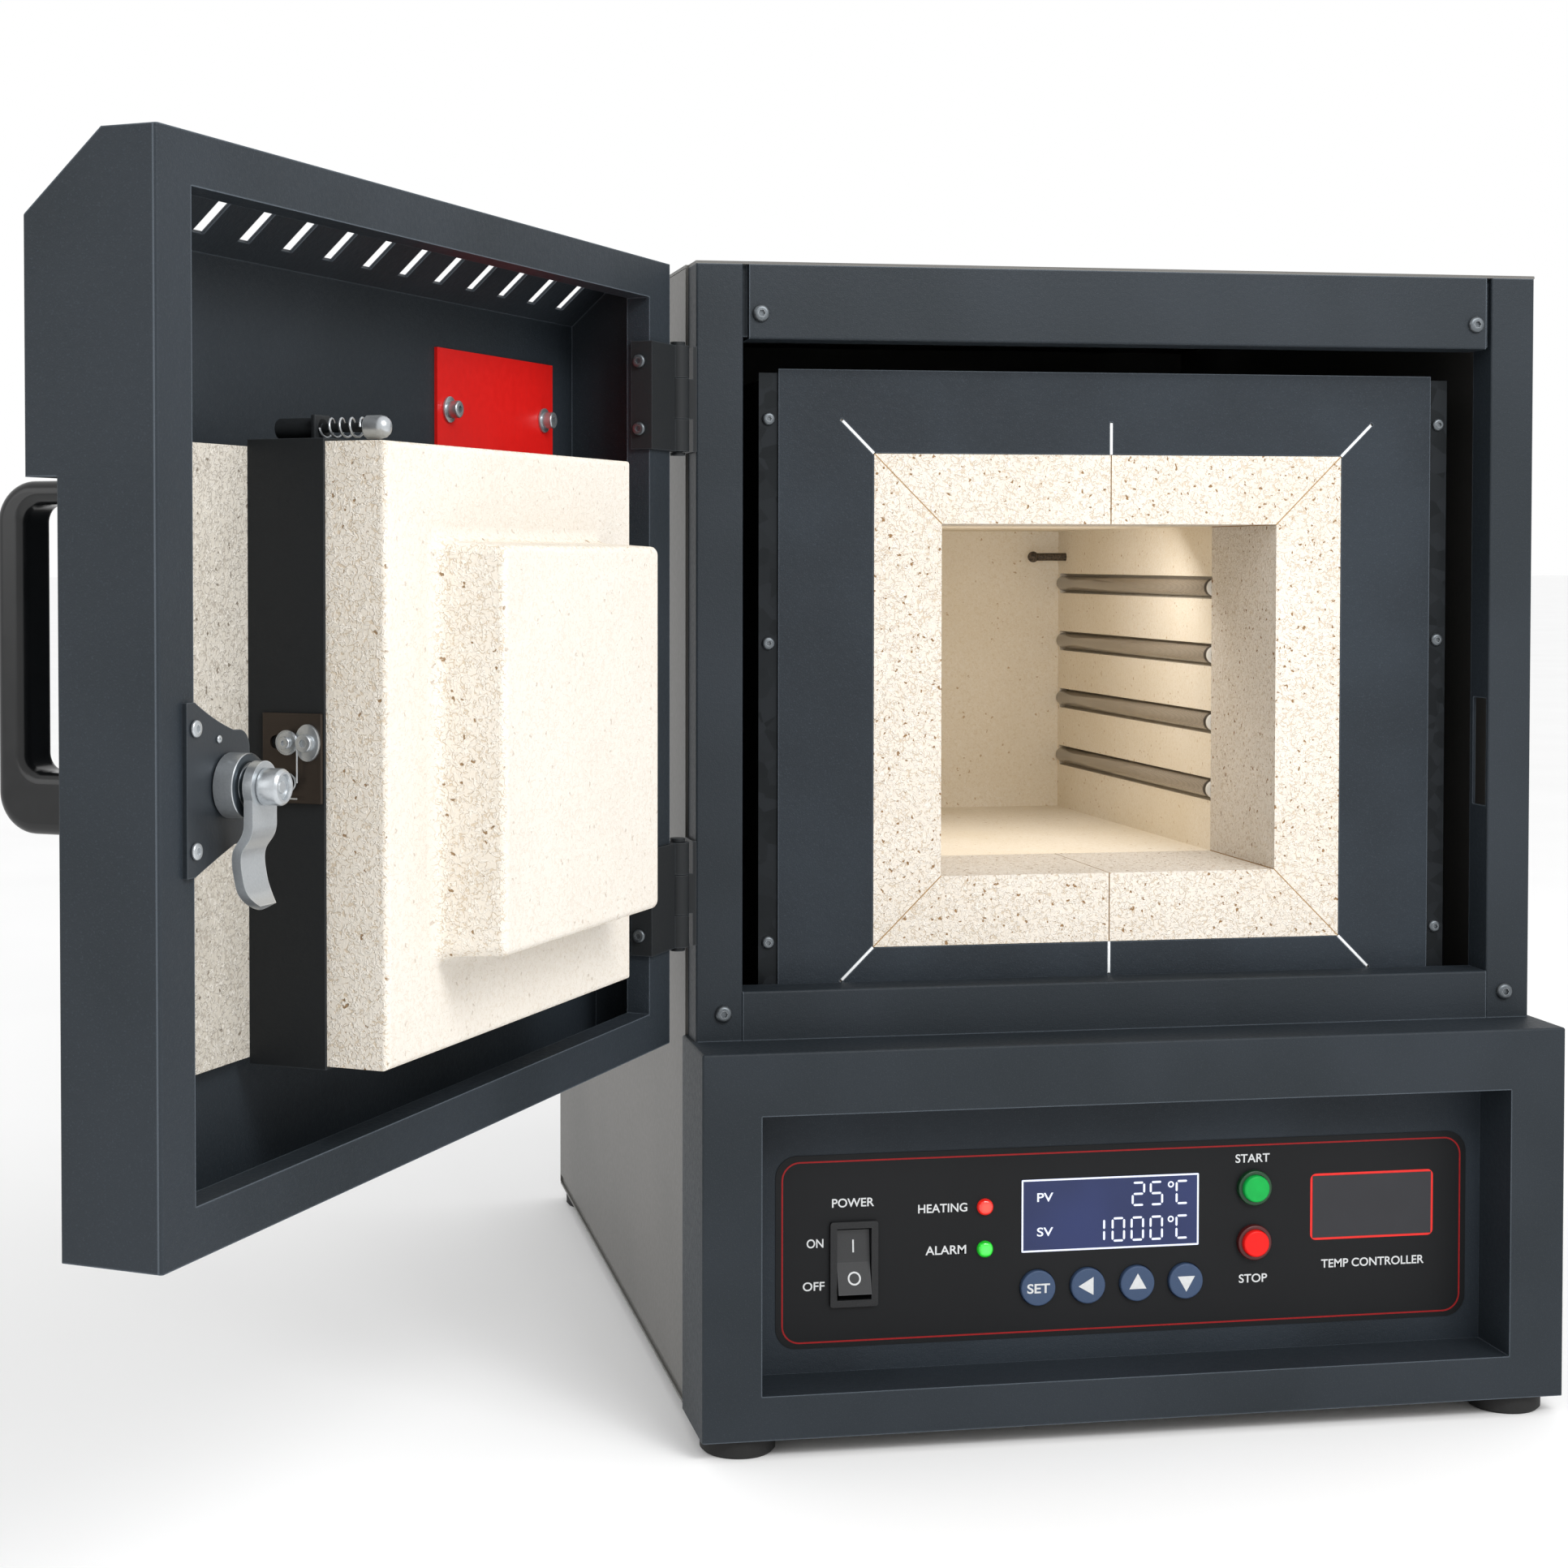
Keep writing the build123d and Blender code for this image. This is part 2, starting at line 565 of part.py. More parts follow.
def collar_half(side, up):
    joint = 0.15
    shape = make_face(Polyline((joint, HALF), (HALF, HALF), (OUTER, OUTER), (joint, OUTER), close=True))
    if side < 0:
        shape = mirror(shape, Plane.YZ)
    if up < 0:
        shape = mirror(shape, Plane.XZ)
    piece = extrude(Plane.XZ * shape, -COLLAR_D)
    return Pos(XC, FACE_Y, ZC) * piece


# Chamber boards behind the collar
ROD_ZS = [(k - (ROD_COUNT - 1) / 2) * ROD_PITCH for k in range(ROD_COUNT)]


def chamber_wall(side):
    wall = block(*sorted((XC + side * HALF, XC + side * OUTER)), WALL_Y0, WALL_Y1, ZC - OUTER, ZC + OUTER)
    for dz in ROD_ZS:
        wall -= rod_y(XC + side * (HALF + ROD_SINK), WALL_Y0 - 1, WALL_Y1 - 3, ZC + dz, GROOVE_R)
    if side > 0:
        wall -= rod_x(XC + HALF - 1, XC + OUTER + 1, PROBE_Y, PROBE_Z, PROBE_R + FIT)
    return wall


def heating_rods():
    rods = []
    for side in (-1, 1):
        for dz in ROD_ZS:
            x, z = XC + side * (HALF + ROD_SINK + GROOVE_R - ROD_R), ZC + dz
            rods.append(rod_y(x, WALL_Y0, WALL_Y1 - 3, z, ROD_R))
    return rods


def insulation():
    y0, y1 = PLATE_Y, BACK_Y1
    in_x = OUTER + WRAP_SIDE
    z0, z1 = ZC - OUTER - WRAP_BOTTOM, ZC + OUTER + WRAP_TOP
    right = block(XC + OUTER, XC + in_x, y0, y1, ZC - OUTER, ZC + OUTER)
    right -= rod_x(XC + OUTER - 1, XC + in_x + 1, PROBE_Y, PROBE_Z, PROBE_R + FIT)
    return [block(XC - in_x, XC - OUTER, y0, y1, ZC - OUTER, ZC + OUTER), right,
            block(XC - in_x, XC + in_x, y0, y1, ZC + OUTER, z1),
            block(XC - in_x, XC + in_x, y0, y1, z0, ZC - OUTER),
            block(XC - in_x, XC + in_x, y1, WRAP_Y1, z0, z1)]


def thermocouple():
    tip = XC + HALF - PROBE_OUT
    probe = rod_x(tip, XC + SHELL_X + 6, PROBE_Y, PROBE_Z, PROBE_R)
    probe = probe + Pos(tip, PROBE_Y, PROBE_Z) * Sphere(3.6)
    return probe + rod_x(XC + SHELL_X + CASING_T, XC + SHELL_X + 24, PROBE_Y, PROBE_Z, 9)


# Door shell, in the closed position; depth runs from the rim plane outwards, towards -Y
STEP_Z = DOOR_Z0 + HOOD_UP


def pan_outline():
    """Side view of the pan: y is depth from the rim plane, z is height."""
    chamfer_z = DOOR_Z1 - CHAMFER_H
    return make_face(Polyline((-SHEET, DOOR_Z0), (-PAN_D, DOOR_Z0), (-PAN_D, STEP_Z), (-HOOD_D, STEP_Z),
                              (-HOOD_D, chamfer_z), (-(HOOD_D - CHAMFER_D), DOOR_Z1), (-SHEET, DOOR_Z1), close=True))


def door_skin():
    outline = pan_outline()
    outer = Pos(DOOR_X0, RIM_Y, 0) * extrude(Plane.YZ * outline, DOOR_W)
    mid_z = (DOOR_Z0 + DOOR_Z1) / 2
    lower_z = (DOOR_Z0 + STEP_Z) / 2
    upper_z = (STEP_Z + DOOR_Z1 - CHAMFER_H) / 2
    spots = [(x, RIM_Y - PAN_D, lower_z) for x in (DOOR_X0, DOOR_X1)]
    spots += [(x, RIM_Y - HOOD_D, upper_z) for x in (DOOR_X0, DOOR_X1)]
    outer = soften(outer, Axis.Z, spots, EDGE_R)
    inner = offset(outline, -SHEET, kind=Kind.INTERSECTION)
    hollow = Pos(DOOR_X0 + SHEET, RIM_Y, 0) * extrude(Plane.YZ * inner, DOOR_W - 2 * SHEET)
    mouth = block(DOOR_X0 + SHEET, DOOR_X1 - SHEET, RIM_Y - 3 * SHEET, RIM_Y + 1, DOOR_Z0 + SHEET, DOOR_Z1 - SHEET)
    skin = outer - hollow - mouth
    tilt = degrees(atan2(CHAMFER_H, CHAMFER_D))
    mid_y = RIM_Y - HOOD_D + CHAMFER_D / 2
    for k in range(VENT_COUNT):
        x = XC + (k - (VENT_COUNT - 1) / 2) * VENT_PITCH
        skin -= Pos(x, mid_y, DOOR_Z1 - CHAMFER_H / 2) * Rot(tilt, 0, 0) * Box(VENT_W, VENT_L, 6 * SHEET)
    skin -= rod_y(LX, RIM_Y - PAN_D - 2, RIM_Y - PAN_D + 2 * SHEET, LZ, SPINDLE_R + RUN_FIT)
    for z in HANDLE_SCREW_ZS:
        skin -= rod_y(HANDLE_X, RIM_Y - PAN_D - 2, RIM_Y - PAN_D + 2 * SHEET, z, SMALL_R + HOLE_FIT)
    return skin


RIM_X0, RIM_X1 = DOOR_X0 + FLANGE_HINGE, DOOR_X1 - FLANGE_FREE
RIM_Z0, RIM_Z1 = DOOR_Z0 + FLANGE_TOP, DOOR_Z1 - FLANGE_TOP
HINGE_Z = [Z_LEDGE + z for z in HINGE_ZS]
LEAF_SCREW_Y = RIM_Y - LEAF_LEG / 2
LEAF_SCREW_Z = 16.4
HANDLE_X = DOOR_X1 - HANDLE_IN
HANDLE_SCREW_ZS = (Z_LEDGE + HANDLE_Z[0] + 11.0, Z_LEDGE + HANDLE_Z[1] - 4.5)


def leaf_screw_heights():
    return [z + s * LEAF_SCREW_Z for z in HINGE_Z for s in (-1, 1)]


def door_rim():
    ring = block(DOOR_X0, DOOR_X1, RIM_Y - SHEET, RIM_Y, DOOR_Z0, DOOR_Z1)
    ring += block(RIM_X0 - SHEET, RIM_X1 + SHEET, RIM_Y - LIP, RIM_Y, RIM_Z0 - SHEET, RIM_Z1 + SHEET)
    ring -= block(RIM_X0, RIM_X1, RIM_Y - LIP - 1, RIM_Y + 1, RIM_Z0, RIM_Z1)
    mid_z = (DOOR_Z0 + DOOR_Z1) / 2
    ring = soften(ring, Axis.Z, [(DOOR_X1, RIM_Y, mid_z)], 1.0)
    for x, z in BRACKET_SCREWS:
        ring -= rod_y(x, RIM_Y - 3, RIM_Y + 1, z, SMALL_R + HOLE_FIT)
    for z in leaf_screw_heights():
        ring -= rod_x(RIM_X0 - 3, RIM_X0 + 1, LEAF_SCREW_Y, z, SMALL_R + HOLE_FIT)
    return ring


def door_board():
    back = RIM_Y - PAN_D + SHEET
    return block(XC - BOARD_W / 2, XC + BOARD_W / 2, back, RIM_Y - TRAY_D, ZC - BOARD_H / 2, ZC + BOARD_H / 2)


def door_tray():
    hw, hh = BLOCK_W / 2 + TRAY_T, BLOCK_H / 2 + TRAY_T
    tray = block(XC - hw, XC + hw, RIM_Y - TRAY_D, RIM_Y, ZC - hh, ZC + hh)
    return tray - block(XC - BLOCK_W / 2, XC + BLOCK_W / 2, RIM_Y - TRAY_D + TRAY_T, RIM_Y + 1,
                        ZC - BLOCK_H / 2, ZC + BLOCK_H / 2)


def door_block():
    """Ceramic block with a drafted plug in the middle, one casting."""
    slab = block(XC - BLOCK_W / 2, XC + BLOCK_W / 2, RIM_Y - TRAY_D + TRAY_T, RIM_Y + BLOCK_OUT,
                 ZC - BLOCK_H / 2, ZC + BLOCK_H / 2)
    slab = fillet(slab.faces().sort_by(Axis.Y)[-1].edges(), 2.5)
    face_y = RIM_Y + BLOCK_OUT
    foot = Pos(XC, face_y - 1, ZC) * (Plane.XZ * Rectangle(PLUG_W + 2 * PLUG_DRAFT, PLUG_H + 2 * PLUG_DRAFT))
    tip = Pos(XC, face_y + PLUG_OUT, ZC) * (Plane.XZ * Rectangle(PLUG_W, PLUG_H))
    plug = loft([foot, tip])
    corners = [e for e in plug.edges() if abs(e.center().Y - (face_y + PLUG_OUT / 2)) < 2]
    plug = fillet(corners, 4.0)
    plug = fillet(plug.faces().sort_by(Axis.Y)[-1].edges(), 3.0)
    joined = slab + plug
    edges = [e for e in joined.edges() if abs(e.center().Y - face_y) < 0.1
             and abs(e.center().X - XC) < PLUG_W / 2 + 4 and abs(e.center().Z - ZC) < PLUG_H / 2 + 4]
    return fillet(edges, PLUG_FILLET)


def red_plate():
    back = RIM_Y - HOOD_D + SHEET
    x, z = X0 + RED_X, DOOR_Z0 + RED_UP
    plate = block(x - RED_W / 2, x + RED_W / 2, back, back + SHEET, z - RED_H / 2, z + RED_H / 2)
    for side in (-1, 1):
        plate -= rod_y(x + side * 51, back - 1, back + 4, z, SMALL_R + HOLE_FIT)
    return plate


# Latch
BRACKET_T = 2.0
BRACKET_SCREWS = [(DOOR_X1 - 18.5, LZ + 21), (DOOR_X1 - 18.5, LZ - 21)]


def latch_bracket():
    """Plate on the rim with concave shoulders that carries the latch over the opening."""
    edge_x = DOOR_X1 - 13.5
    nose_x = LX - 14.0
    edge = edge_x - LX
    nose = nose_x - LX
    outline = (Line((edge, 30), (edge - 5, 30))
               + ThreePointArc((edge - 5, 30), (2.0, 21.0), (-4.0, 19.0))
               + Line((-4.0, 19.0), (nose + 7, 19.0))
               + ThreePointArc((nose + 7, 19.0), (nose + 2.0, 17.0), (nose, 12.0))
               + Line((nose, 12.0), (nose, -14.0))
               + ThreePointArc((nose, -14.0), (nose + 2.0, -19.0), (nose + 7, -21.0))
               + Line((nose + 7, -21.0), (-4.0, -21.0))
               + ThreePointArc((-4.0, -21.0), (2.0, -23.0), (edge - 5, -30))
               + Line((edge - 5, -30), (edge, -30))
               + Line((edge, -30), (edge, 30)))
    plate = Pos(LX, RIM_Y + BRACKET_T, LZ) * extrude(Plane.XZ * make_face(outline), BRACKET_T)
    plate -= rod_y(LX, RIM_Y - 1, RIM_Y + 4, LZ, SPINDLE_R + RUN_FIT)
    for x, z in BRACKET_SCREWS:
        plate -= rod_y(x, RIM_Y - 1, RIM_Y + 4, z, SMALL_R + HOLE_FIT)
    return plate


HUB_Y0 = RIM_Y + BRACKET_T + 0.3
HUB_Y1 = HUB_Y0 + HUB_L
LEVER_Y0 = HUB_Y1 + 2.0


def latch_spindle():
    """Shaft through the door with a slotted outer end, hub ring, neck and cap."""
    skin_y = RIM_Y - PAN_D
    out_y = skin_y - 1.5
    shaft = rod_y(LX, skin_y, HUB_Y0, LZ, SPINDLE_R) + rod_y(LX, out_y, skin_y, LZ, TIP_R)
    shaft -= block(LX - SPINDLE_R - 1, LX + SPINDLE_R + 1, out_y - 1, out_y + 1.2, LZ - 0.8, LZ + 0.8)
    hub = rod_y(LX, HUB_Y0, HUB_Y1, LZ, HUB_R)
    hub = fillet(hub.edges().sort_by(Axis.Y)[-1], 1.2)
    neck = rod_y(LX, HUB_Y1, LEVER_Y0, LZ, NECK_R)
    stem = rod_y(LX, LEVER_Y0, LEVER_Y0 + LEVER_T, LZ, SPINDLE_R)
    cap = rod_y(LX, LEVER_Y0 + LEVER_T, LEVER_Y0 + LEVER_T + CAP_L, LZ, CAP_R)
    cap = chamfer(cap.edges().sort_by(Axis.Y)[-1], 1.0)
    cap -= rod_y(LX, LEVER_Y0 + LEVER_T + CAP_L - 1.5, LEVER_Y0 + LEVER_T + CAP_L + 1, LZ, CAP_R - 2.5)
    return shaft + hub + neck + stem + cap


def latch_lever():
    """Cranked and curved lever, its side view extruded, with a rounded paddle."""
    t = LEVER_T
    back = (Line((0, 8), (0, -12)) + Spline((0, -12), (-4.4, -22), (-4.0, -32), (2.0, -LEVER_L),
                                           tangents=((0, -1), (0.75, -0.65))))
    front = (Line((t, 8), (t, -13)) + Spline((t, -13), (t - 4.4, -22.5), (t - 4.2, -31), (t + 1.2, -LEVER_L + 2.0),
                                            tangents=((0, -1), (0.75, -0.65))))
    side = make_face(back + front + Line((0, 8), (t, 8)) + Line((2.0, -LEVER_L), (t + 1.2, -LEVER_L + 2.0)))
    blade = extrude(Plane.YZ * side, LEVER_W / 2, both=True)
    outline = make_hull([*Circle(9).edges(), *(Pos(0, -LEVER_L + LEVER_W / 2) * Circle(LEVER_W / 2)).edges()])
    blade = blade & extrude(Plane.XZ * outline, 20, both=True)
    blade += rod_y(0, 0, t, 0, 9)
    blade -= rod_y(0, -1, t + 1, 0, SPINDLE_R)
    return Pos(LX, LEVER_Y0, LZ) * blade


def link_plate():
    """Cover plate on the tray's side, with a cam washer, a roller and their bolts."""
    x0 = XC + BLOCK_W / 2 + TRAY_T
    z0, z1 = LZ - 13, LZ + 21
    plate = block(x0, x0 + SHEET, RIM_Y - 26, RIM_Y - 0.5, z0, z1)
    plate -= rod_x(x0 - 1, x0 + 3, RIM_Y - 20, LZ + 10, 2.6)
    for y, z, r, out in ((RIM_Y - 6, LZ + 10, 6.0, 1.6), (RIM_Y - 6, LZ + 10, 3.4, 4.6),
                         (RIM_Y - 14, LZ + 10, 4.2, 3.0), (RIM_Y - 14, LZ + 10, 2.2, 5.0)):
        plate += rod_x(x0 + SHEET, x0 + SHEET + out, y, z, r)
    plate += Pos(x0 + SHEET + 1.5, RIM_Y - 14, LZ - 5) * Sphere(2.8)
    return plate


def tray_stud():
    """Sprung stud beside the block: a sleeve, a coil stood in for by rings, and a dome nut."""
    x, z = X0 + STUD_X, ZC + BLOCK_H / 2 + TRAY_T + 4.5
    back = RIM_Y - TRAY_D
    stud = rod_y(x, back + 4, RIM_Y + 12, z, 1.8) + rod_y(x, back + 4, RIM_Y - 10, z, 4.0)
    stud += block(x - 6, x + 6, RIM_Y - 12, RIM_Y - 10, ZC + BLOCK_H / 2 + TRAY_T, z + 5)
    for k in range(4):
        stud += rod_y(x, RIM_Y - 8 + 4 * k, RIM_Y - 6 + 4 * k, z, 4.2)
    nut = rod_y(x, RIM_Y + 9, RIM_Y + 19, z, 4.5)
    return stud + fillet(nut.edges().sort_by(Axis.Y)[-1], 3.0)


# Handle
def door_handle():
    """Bow handle with rounded corners, thicker at its lower foot."""
    z0, z1 = Z_LEDGE + HANDLE_Z[0], Z_LEDGE + HANDLE_Z[1]
    y_skin = RIM_Y - PAN_D
    height = z1 - z0
    outer = make_face(Polyline((0, 0), (-HANDLE_OUT, 0), (-HANDLE_OUT, height), (0, height), close=True))
    outer = fillet(outer.vertices().sort_by(Axis.X)[:2], HANDLE_R)
    inner = make_face(Polyline((1, 22), (-(HANDLE_OUT - HANDLE_T), 22), (-(HANDLE_OUT - HANDLE_T), height - 8.5),
                               (1, height - 8.5), close=True))
    inner = fillet(inner.vertices().sort_by(Axis.X)[:2], 6)
    bow = extrude(Plane.YZ * (outer - inner), HANDLE_W / 2, both=True)
    long_edges = [e for e in bow.edges() if abs(abs(e.center().X) - HANDLE_W / 2) < 0.01 and e.center().Y < -1]
    bow = fillet(long_edges, 4.0)
    bow = Pos(HANDLE_X, y_skin, z0) * bow
    for z in HANDLE_SCREW_ZS:
        bow -= rod_y(HANDLE_X, y_skin - 6, y_skin + 1, z, SMALL_R)
    return bow


# Hinges
def knuckle(z0, z1, bore):
    return rod_z(HINGE_X, HINGE_Y, z0, z1, KNUCKLE_R) - rod_z(HINGE_X, HINGE_Y, z0 - 1, z1 + 1, bore)


def hinge_body_leaf(z):
    gap = 0.3
    z0, z1 = z - MID_KNUCKLE / 2 + gap, z + MID_KNUCKLE / 2 - gap
    bore = rod_z(HINGE_X, HINGE_Y, z0 - 1, z1 + 1, PIN_R + 0.02)
    web = block(HINGE_X, X0, Y0 - 1.4, Y0, z0, z1)
    leaf = block(X0 - LEAF_T, X0, Y0 - 1.4, Y0 + POST_SIDE - 2, z - HINGE_H / 2, z + HINGE_H / 2)
    return rod_z(HINGE_X, HINGE_Y, z0, z1, KNUCKLE_R) + web + leaf - bore


def hinge_door_leaf(z):
    low, high = z - HINGE_H / 2, z + HINGE_H / 2
    inner_low, inner_high = z - MID_KNUCKLE / 2, z + MID_KNUCKLE / 2
    leaf = block(HINGE_X, RIM_X0 + LEAF_T, RIM_Y, RIM_Y + LEAF_T, low, high)
    leaf += block(RIM_X0, RIM_X0 + LEAF_T, RIM_Y - LEAF_LEG, RIM_Y + LEAF_T, low, high)
    leaf -= block(HINGE_X - 1, HINGE_X + KNUCKLE_R + 0.7, RIM_Y - 1, RIM_Y + 4, inner_low, inner_high)
    for a, b in ((low, inner_low), (inner_high, high)):
        leaf += rod_z(HINGE_X, HINGE_Y, a, b, KNUCKLE_R)
    leaf -= rod_z(HINGE_X, HINGE_Y, low - 1, high + 1, PIN_R + RUN_FIT)
    for s in (-1, 1):
        leaf -= rod_x(RIM_X0 - 1, RIM_X0 + 4, LEAF_SCREW_Y, z + s * LEAF_SCREW_Z, SMALL_R + HOLE_FIT)
    return leaf


def hinge_pin(z):
    low, high = z - HINGE_H / 2, z + HINGE_H / 2
    return rod_z(HINGE_X, HINGE_Y, low - 0.4, high + 0.4, PIN_R) + rod_z(HINGE_X, HINGE_Y, high + 0.4, high + 2.0, 3.8) \
        + rod_z(HINGE_X, HINGE_Y, low - 2.0, low - 0.4, 3.8)


def door_screws():
    screws = []
    for z in leaf_screw_heights():
        seat = RIM_X0 + LEAF_T
        head = rod_x(seat, seat + 2.2, LEAF_SCREW_Y, z, LEAF_SCREW_R)
        head = fillet(head.edges().sort_by(Axis.X)[-1], 1.7)
        screws.append(head + rod_x(RIM_X0 - 5, seat, LEAF_SCREW_Y, z, SMALL_R))
    for x, z in BRACKET_SCREWS:
        head = rod_y(x, RIM_Y + BRACKET_T, RIM_Y + BRACKET_T + 1.4, z, 3.0)
        screws.append(head + rod_y(x, RIM_Y - 2.8, RIM_Y + BRACKET_T, z, SMALL_R))
    back = RIM_Y - HOOD_D + SHEET
    for side in (-1, 1):
        x, z = X0 + RED_X + side * 51, DOOR_Z0 + RED_UP
        head = rod_y(x, back + SHEET, back + SHEET + 1.2, z, 6.0) + rod_y(x, back + SHEET, back + SHEET + 6, z, 4.0)
        screws.append(head + rod_y(x, back, back + SHEET, z, SMALL_R))
    return screws


def main():
    os.makedirs("parts", exist_ok=True)
    save("foot_pads", *feet())
    save("base_plate", base_plate())
    save("control_bezel", control_bezel())
    save("control_panel", control_panel())
    save("panel_overlay", panel_overlay())
    save("rocker_bezel", rocker_bezel())
    save("rocker_paddle", rocker_paddle())
    save("heating_lamp", lamp(LAMPS_AT[0]))
    save("alarm_lamp", lamp(LAMPS_AT[1]))
    for name, at in zip(("key_set", "key_shift", "key_up", "key_down"), KEYS_AT):
        save(name, key(at))
    save("start_button", push_button(START_AT))
    save("stop_button", push_button(STOP_AT))
    save("button_rings", button_ring(START_AT), button_ring(STOP_AT))
    save("display_window", display_module())
    save("controller_case", module(CONTROLLER, 70, 0.0))
    save("solid_state_relay", relay(), heat_sink())
    save("terminal_block", terminal_block())
    save("deck_plate", deck_plate())
    save("left_side_cover", side_cover(X0 - SHEET, X0))
    save("right_side_cover", side_cover(X1 + SHEET, X1))
    save("top_cover", top_cover())
    save("rear_cover", rear_cover())
    save("cable_gland", cable_gland())
    save("left_post", post(-1))
    save("right_post", post(1))
    save("top_rail", top_rail())
    save("bottom_rail", bottom_rail())
    save("case_screws", *case_screws())
    save("muffle_casing", muffle_casing())
    save("face_plate", face_plate())
    save("collar_top", collar_half(-1, 1), collar_half(1, 1))
    save("collar_bottom", collar_half(-1, -1), collar_half(1, -1))
    save("collar_left", collar_side(-1))
    save("collar_right", collar_side(1))
    save("insulation", *insulation())
    save("chamber_left_wall", chamber_wall(-1))
    save("chamber_right_wall", chamber_wall(1))
    save("chamber_roof", block(XC - HALF, XC + HALF, WALL_Y0, WALL_Y1, ZC + HALF, ZC + OUTER))
    save("hearth_plate", block(XC - HALF, XC + HALF, WALL_Y0, WALL_Y1, ZC - OUTER, ZC - HALF))
    save("chamber_back", block(XC - OUTER, XC + OUTER, WALL_Y1, BACK_Y1, ZC - OUTER, ZC + OUTER))
    save("heating_rods", *heating_rods())
    save("thermocouple", thermocouple())

    save_door("door_skin", door_skin())
    save_door("door_rim", door_rim())
    save_door("door_board", door_board())
    save_door("door_tray", door_tray())
    save_door("door_block", door_block())
    save_door("red_plate", red_plate())
    save_door("door_handle", door_handle())
    save_door("hinge_door_leaves", *[hinge_door_leaf(z) for z in HINGE_Z])
    save_door("door_screws", *door_screws())
    save_door("latch_bracket", latch_bracket())
    save_door("link_plate", link_plate())
    save_door("tray_stud", tray_stud())
    save_door("latch_spindle", latch_spindle())
    save_door("latch_lever", latch_lever())
    save("hinge_body_leaves", *[hinge_body_leaf(z) for z in HINGE_Z], *[hinge_pin(z) for z in HINGE_Z])


main()
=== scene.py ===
# A bench muffle furnace with its door open: a heated ceramic chamber in a steel casing, on a control box.
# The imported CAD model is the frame, in metres. Each section below finishes one piece or group of pieces,
# in the order in which the furnace is put together.
import json
import math

import bpy
from mathutils import Matrix, Vector


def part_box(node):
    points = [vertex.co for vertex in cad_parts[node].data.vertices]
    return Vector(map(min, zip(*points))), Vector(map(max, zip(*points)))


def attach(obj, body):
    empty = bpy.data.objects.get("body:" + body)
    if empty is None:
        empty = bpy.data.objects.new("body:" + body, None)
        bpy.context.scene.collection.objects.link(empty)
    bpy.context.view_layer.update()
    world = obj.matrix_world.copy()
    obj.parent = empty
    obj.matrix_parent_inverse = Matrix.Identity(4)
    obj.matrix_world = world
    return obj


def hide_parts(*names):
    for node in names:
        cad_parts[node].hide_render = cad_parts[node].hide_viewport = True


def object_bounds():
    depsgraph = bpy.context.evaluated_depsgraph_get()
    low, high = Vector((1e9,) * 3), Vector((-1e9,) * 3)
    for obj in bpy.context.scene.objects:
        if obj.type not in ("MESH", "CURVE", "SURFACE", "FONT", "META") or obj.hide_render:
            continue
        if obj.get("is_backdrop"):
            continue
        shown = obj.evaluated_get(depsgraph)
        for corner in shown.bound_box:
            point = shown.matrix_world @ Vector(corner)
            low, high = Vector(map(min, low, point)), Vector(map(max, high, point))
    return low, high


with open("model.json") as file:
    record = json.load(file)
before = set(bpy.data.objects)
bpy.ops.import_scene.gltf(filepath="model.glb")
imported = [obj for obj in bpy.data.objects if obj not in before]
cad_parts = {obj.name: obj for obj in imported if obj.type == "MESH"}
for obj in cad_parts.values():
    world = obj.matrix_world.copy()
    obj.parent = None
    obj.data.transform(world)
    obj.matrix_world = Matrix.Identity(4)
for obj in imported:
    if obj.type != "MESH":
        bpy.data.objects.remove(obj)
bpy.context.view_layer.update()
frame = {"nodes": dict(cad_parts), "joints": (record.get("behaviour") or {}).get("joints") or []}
nodes = frame["nodes"]

# The bench, the camera and the light: a plain pale bench top, a pale room, a large soft light over the right
# shoulder, a weaker one from the left and one from above that looks into the chamber. The camera stands where
# the photograph was taken from.
bpy.context.scene.view_settings.view_transform = "Standard"
bpy.ops.object.select_all(action="DESELECT")
CAMERA_SPOT = (-0.25655, -1.26614, 0.44627)
CAMERA_DOWN, CAMERA_RIGHT = 0.0266, 0.1657
bpy.ops.object.camera_add(location=CAMERA_SPOT, rotation=(math.pi / 2 - CAMERA_DOWN, 0, -CAMERA_RIGHT))
camera = bpy.context.object
camera.name = "camera"
camera.data.lens = 59.57
camera.data.sensor_width = 36.0
camera.data.shift_x = 0.0859
camera.data.shift_y = -0.1001
camera.data.clip_start = 0.02
bpy.context.scene.camera = camera

BENCH_SIZE = 120
bpy.ops.mesh.primitive_plane_add(size=BENCH_SIZE, location=(0, 0, 0))
bench = bpy.context.object
bench.name = "bench_top"
bench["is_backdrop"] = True


def tone(code):
    """Linear colour of a six-figure screen colour."""
    parts = [int(code[k:k + 2], 16) / 255 for k in (1, 3, 5)]
    return [p / 12.92 if p <= 0.04045 else ((p + 0.055) / 1.055) ** 2.4 for p in parts] + [1.0]


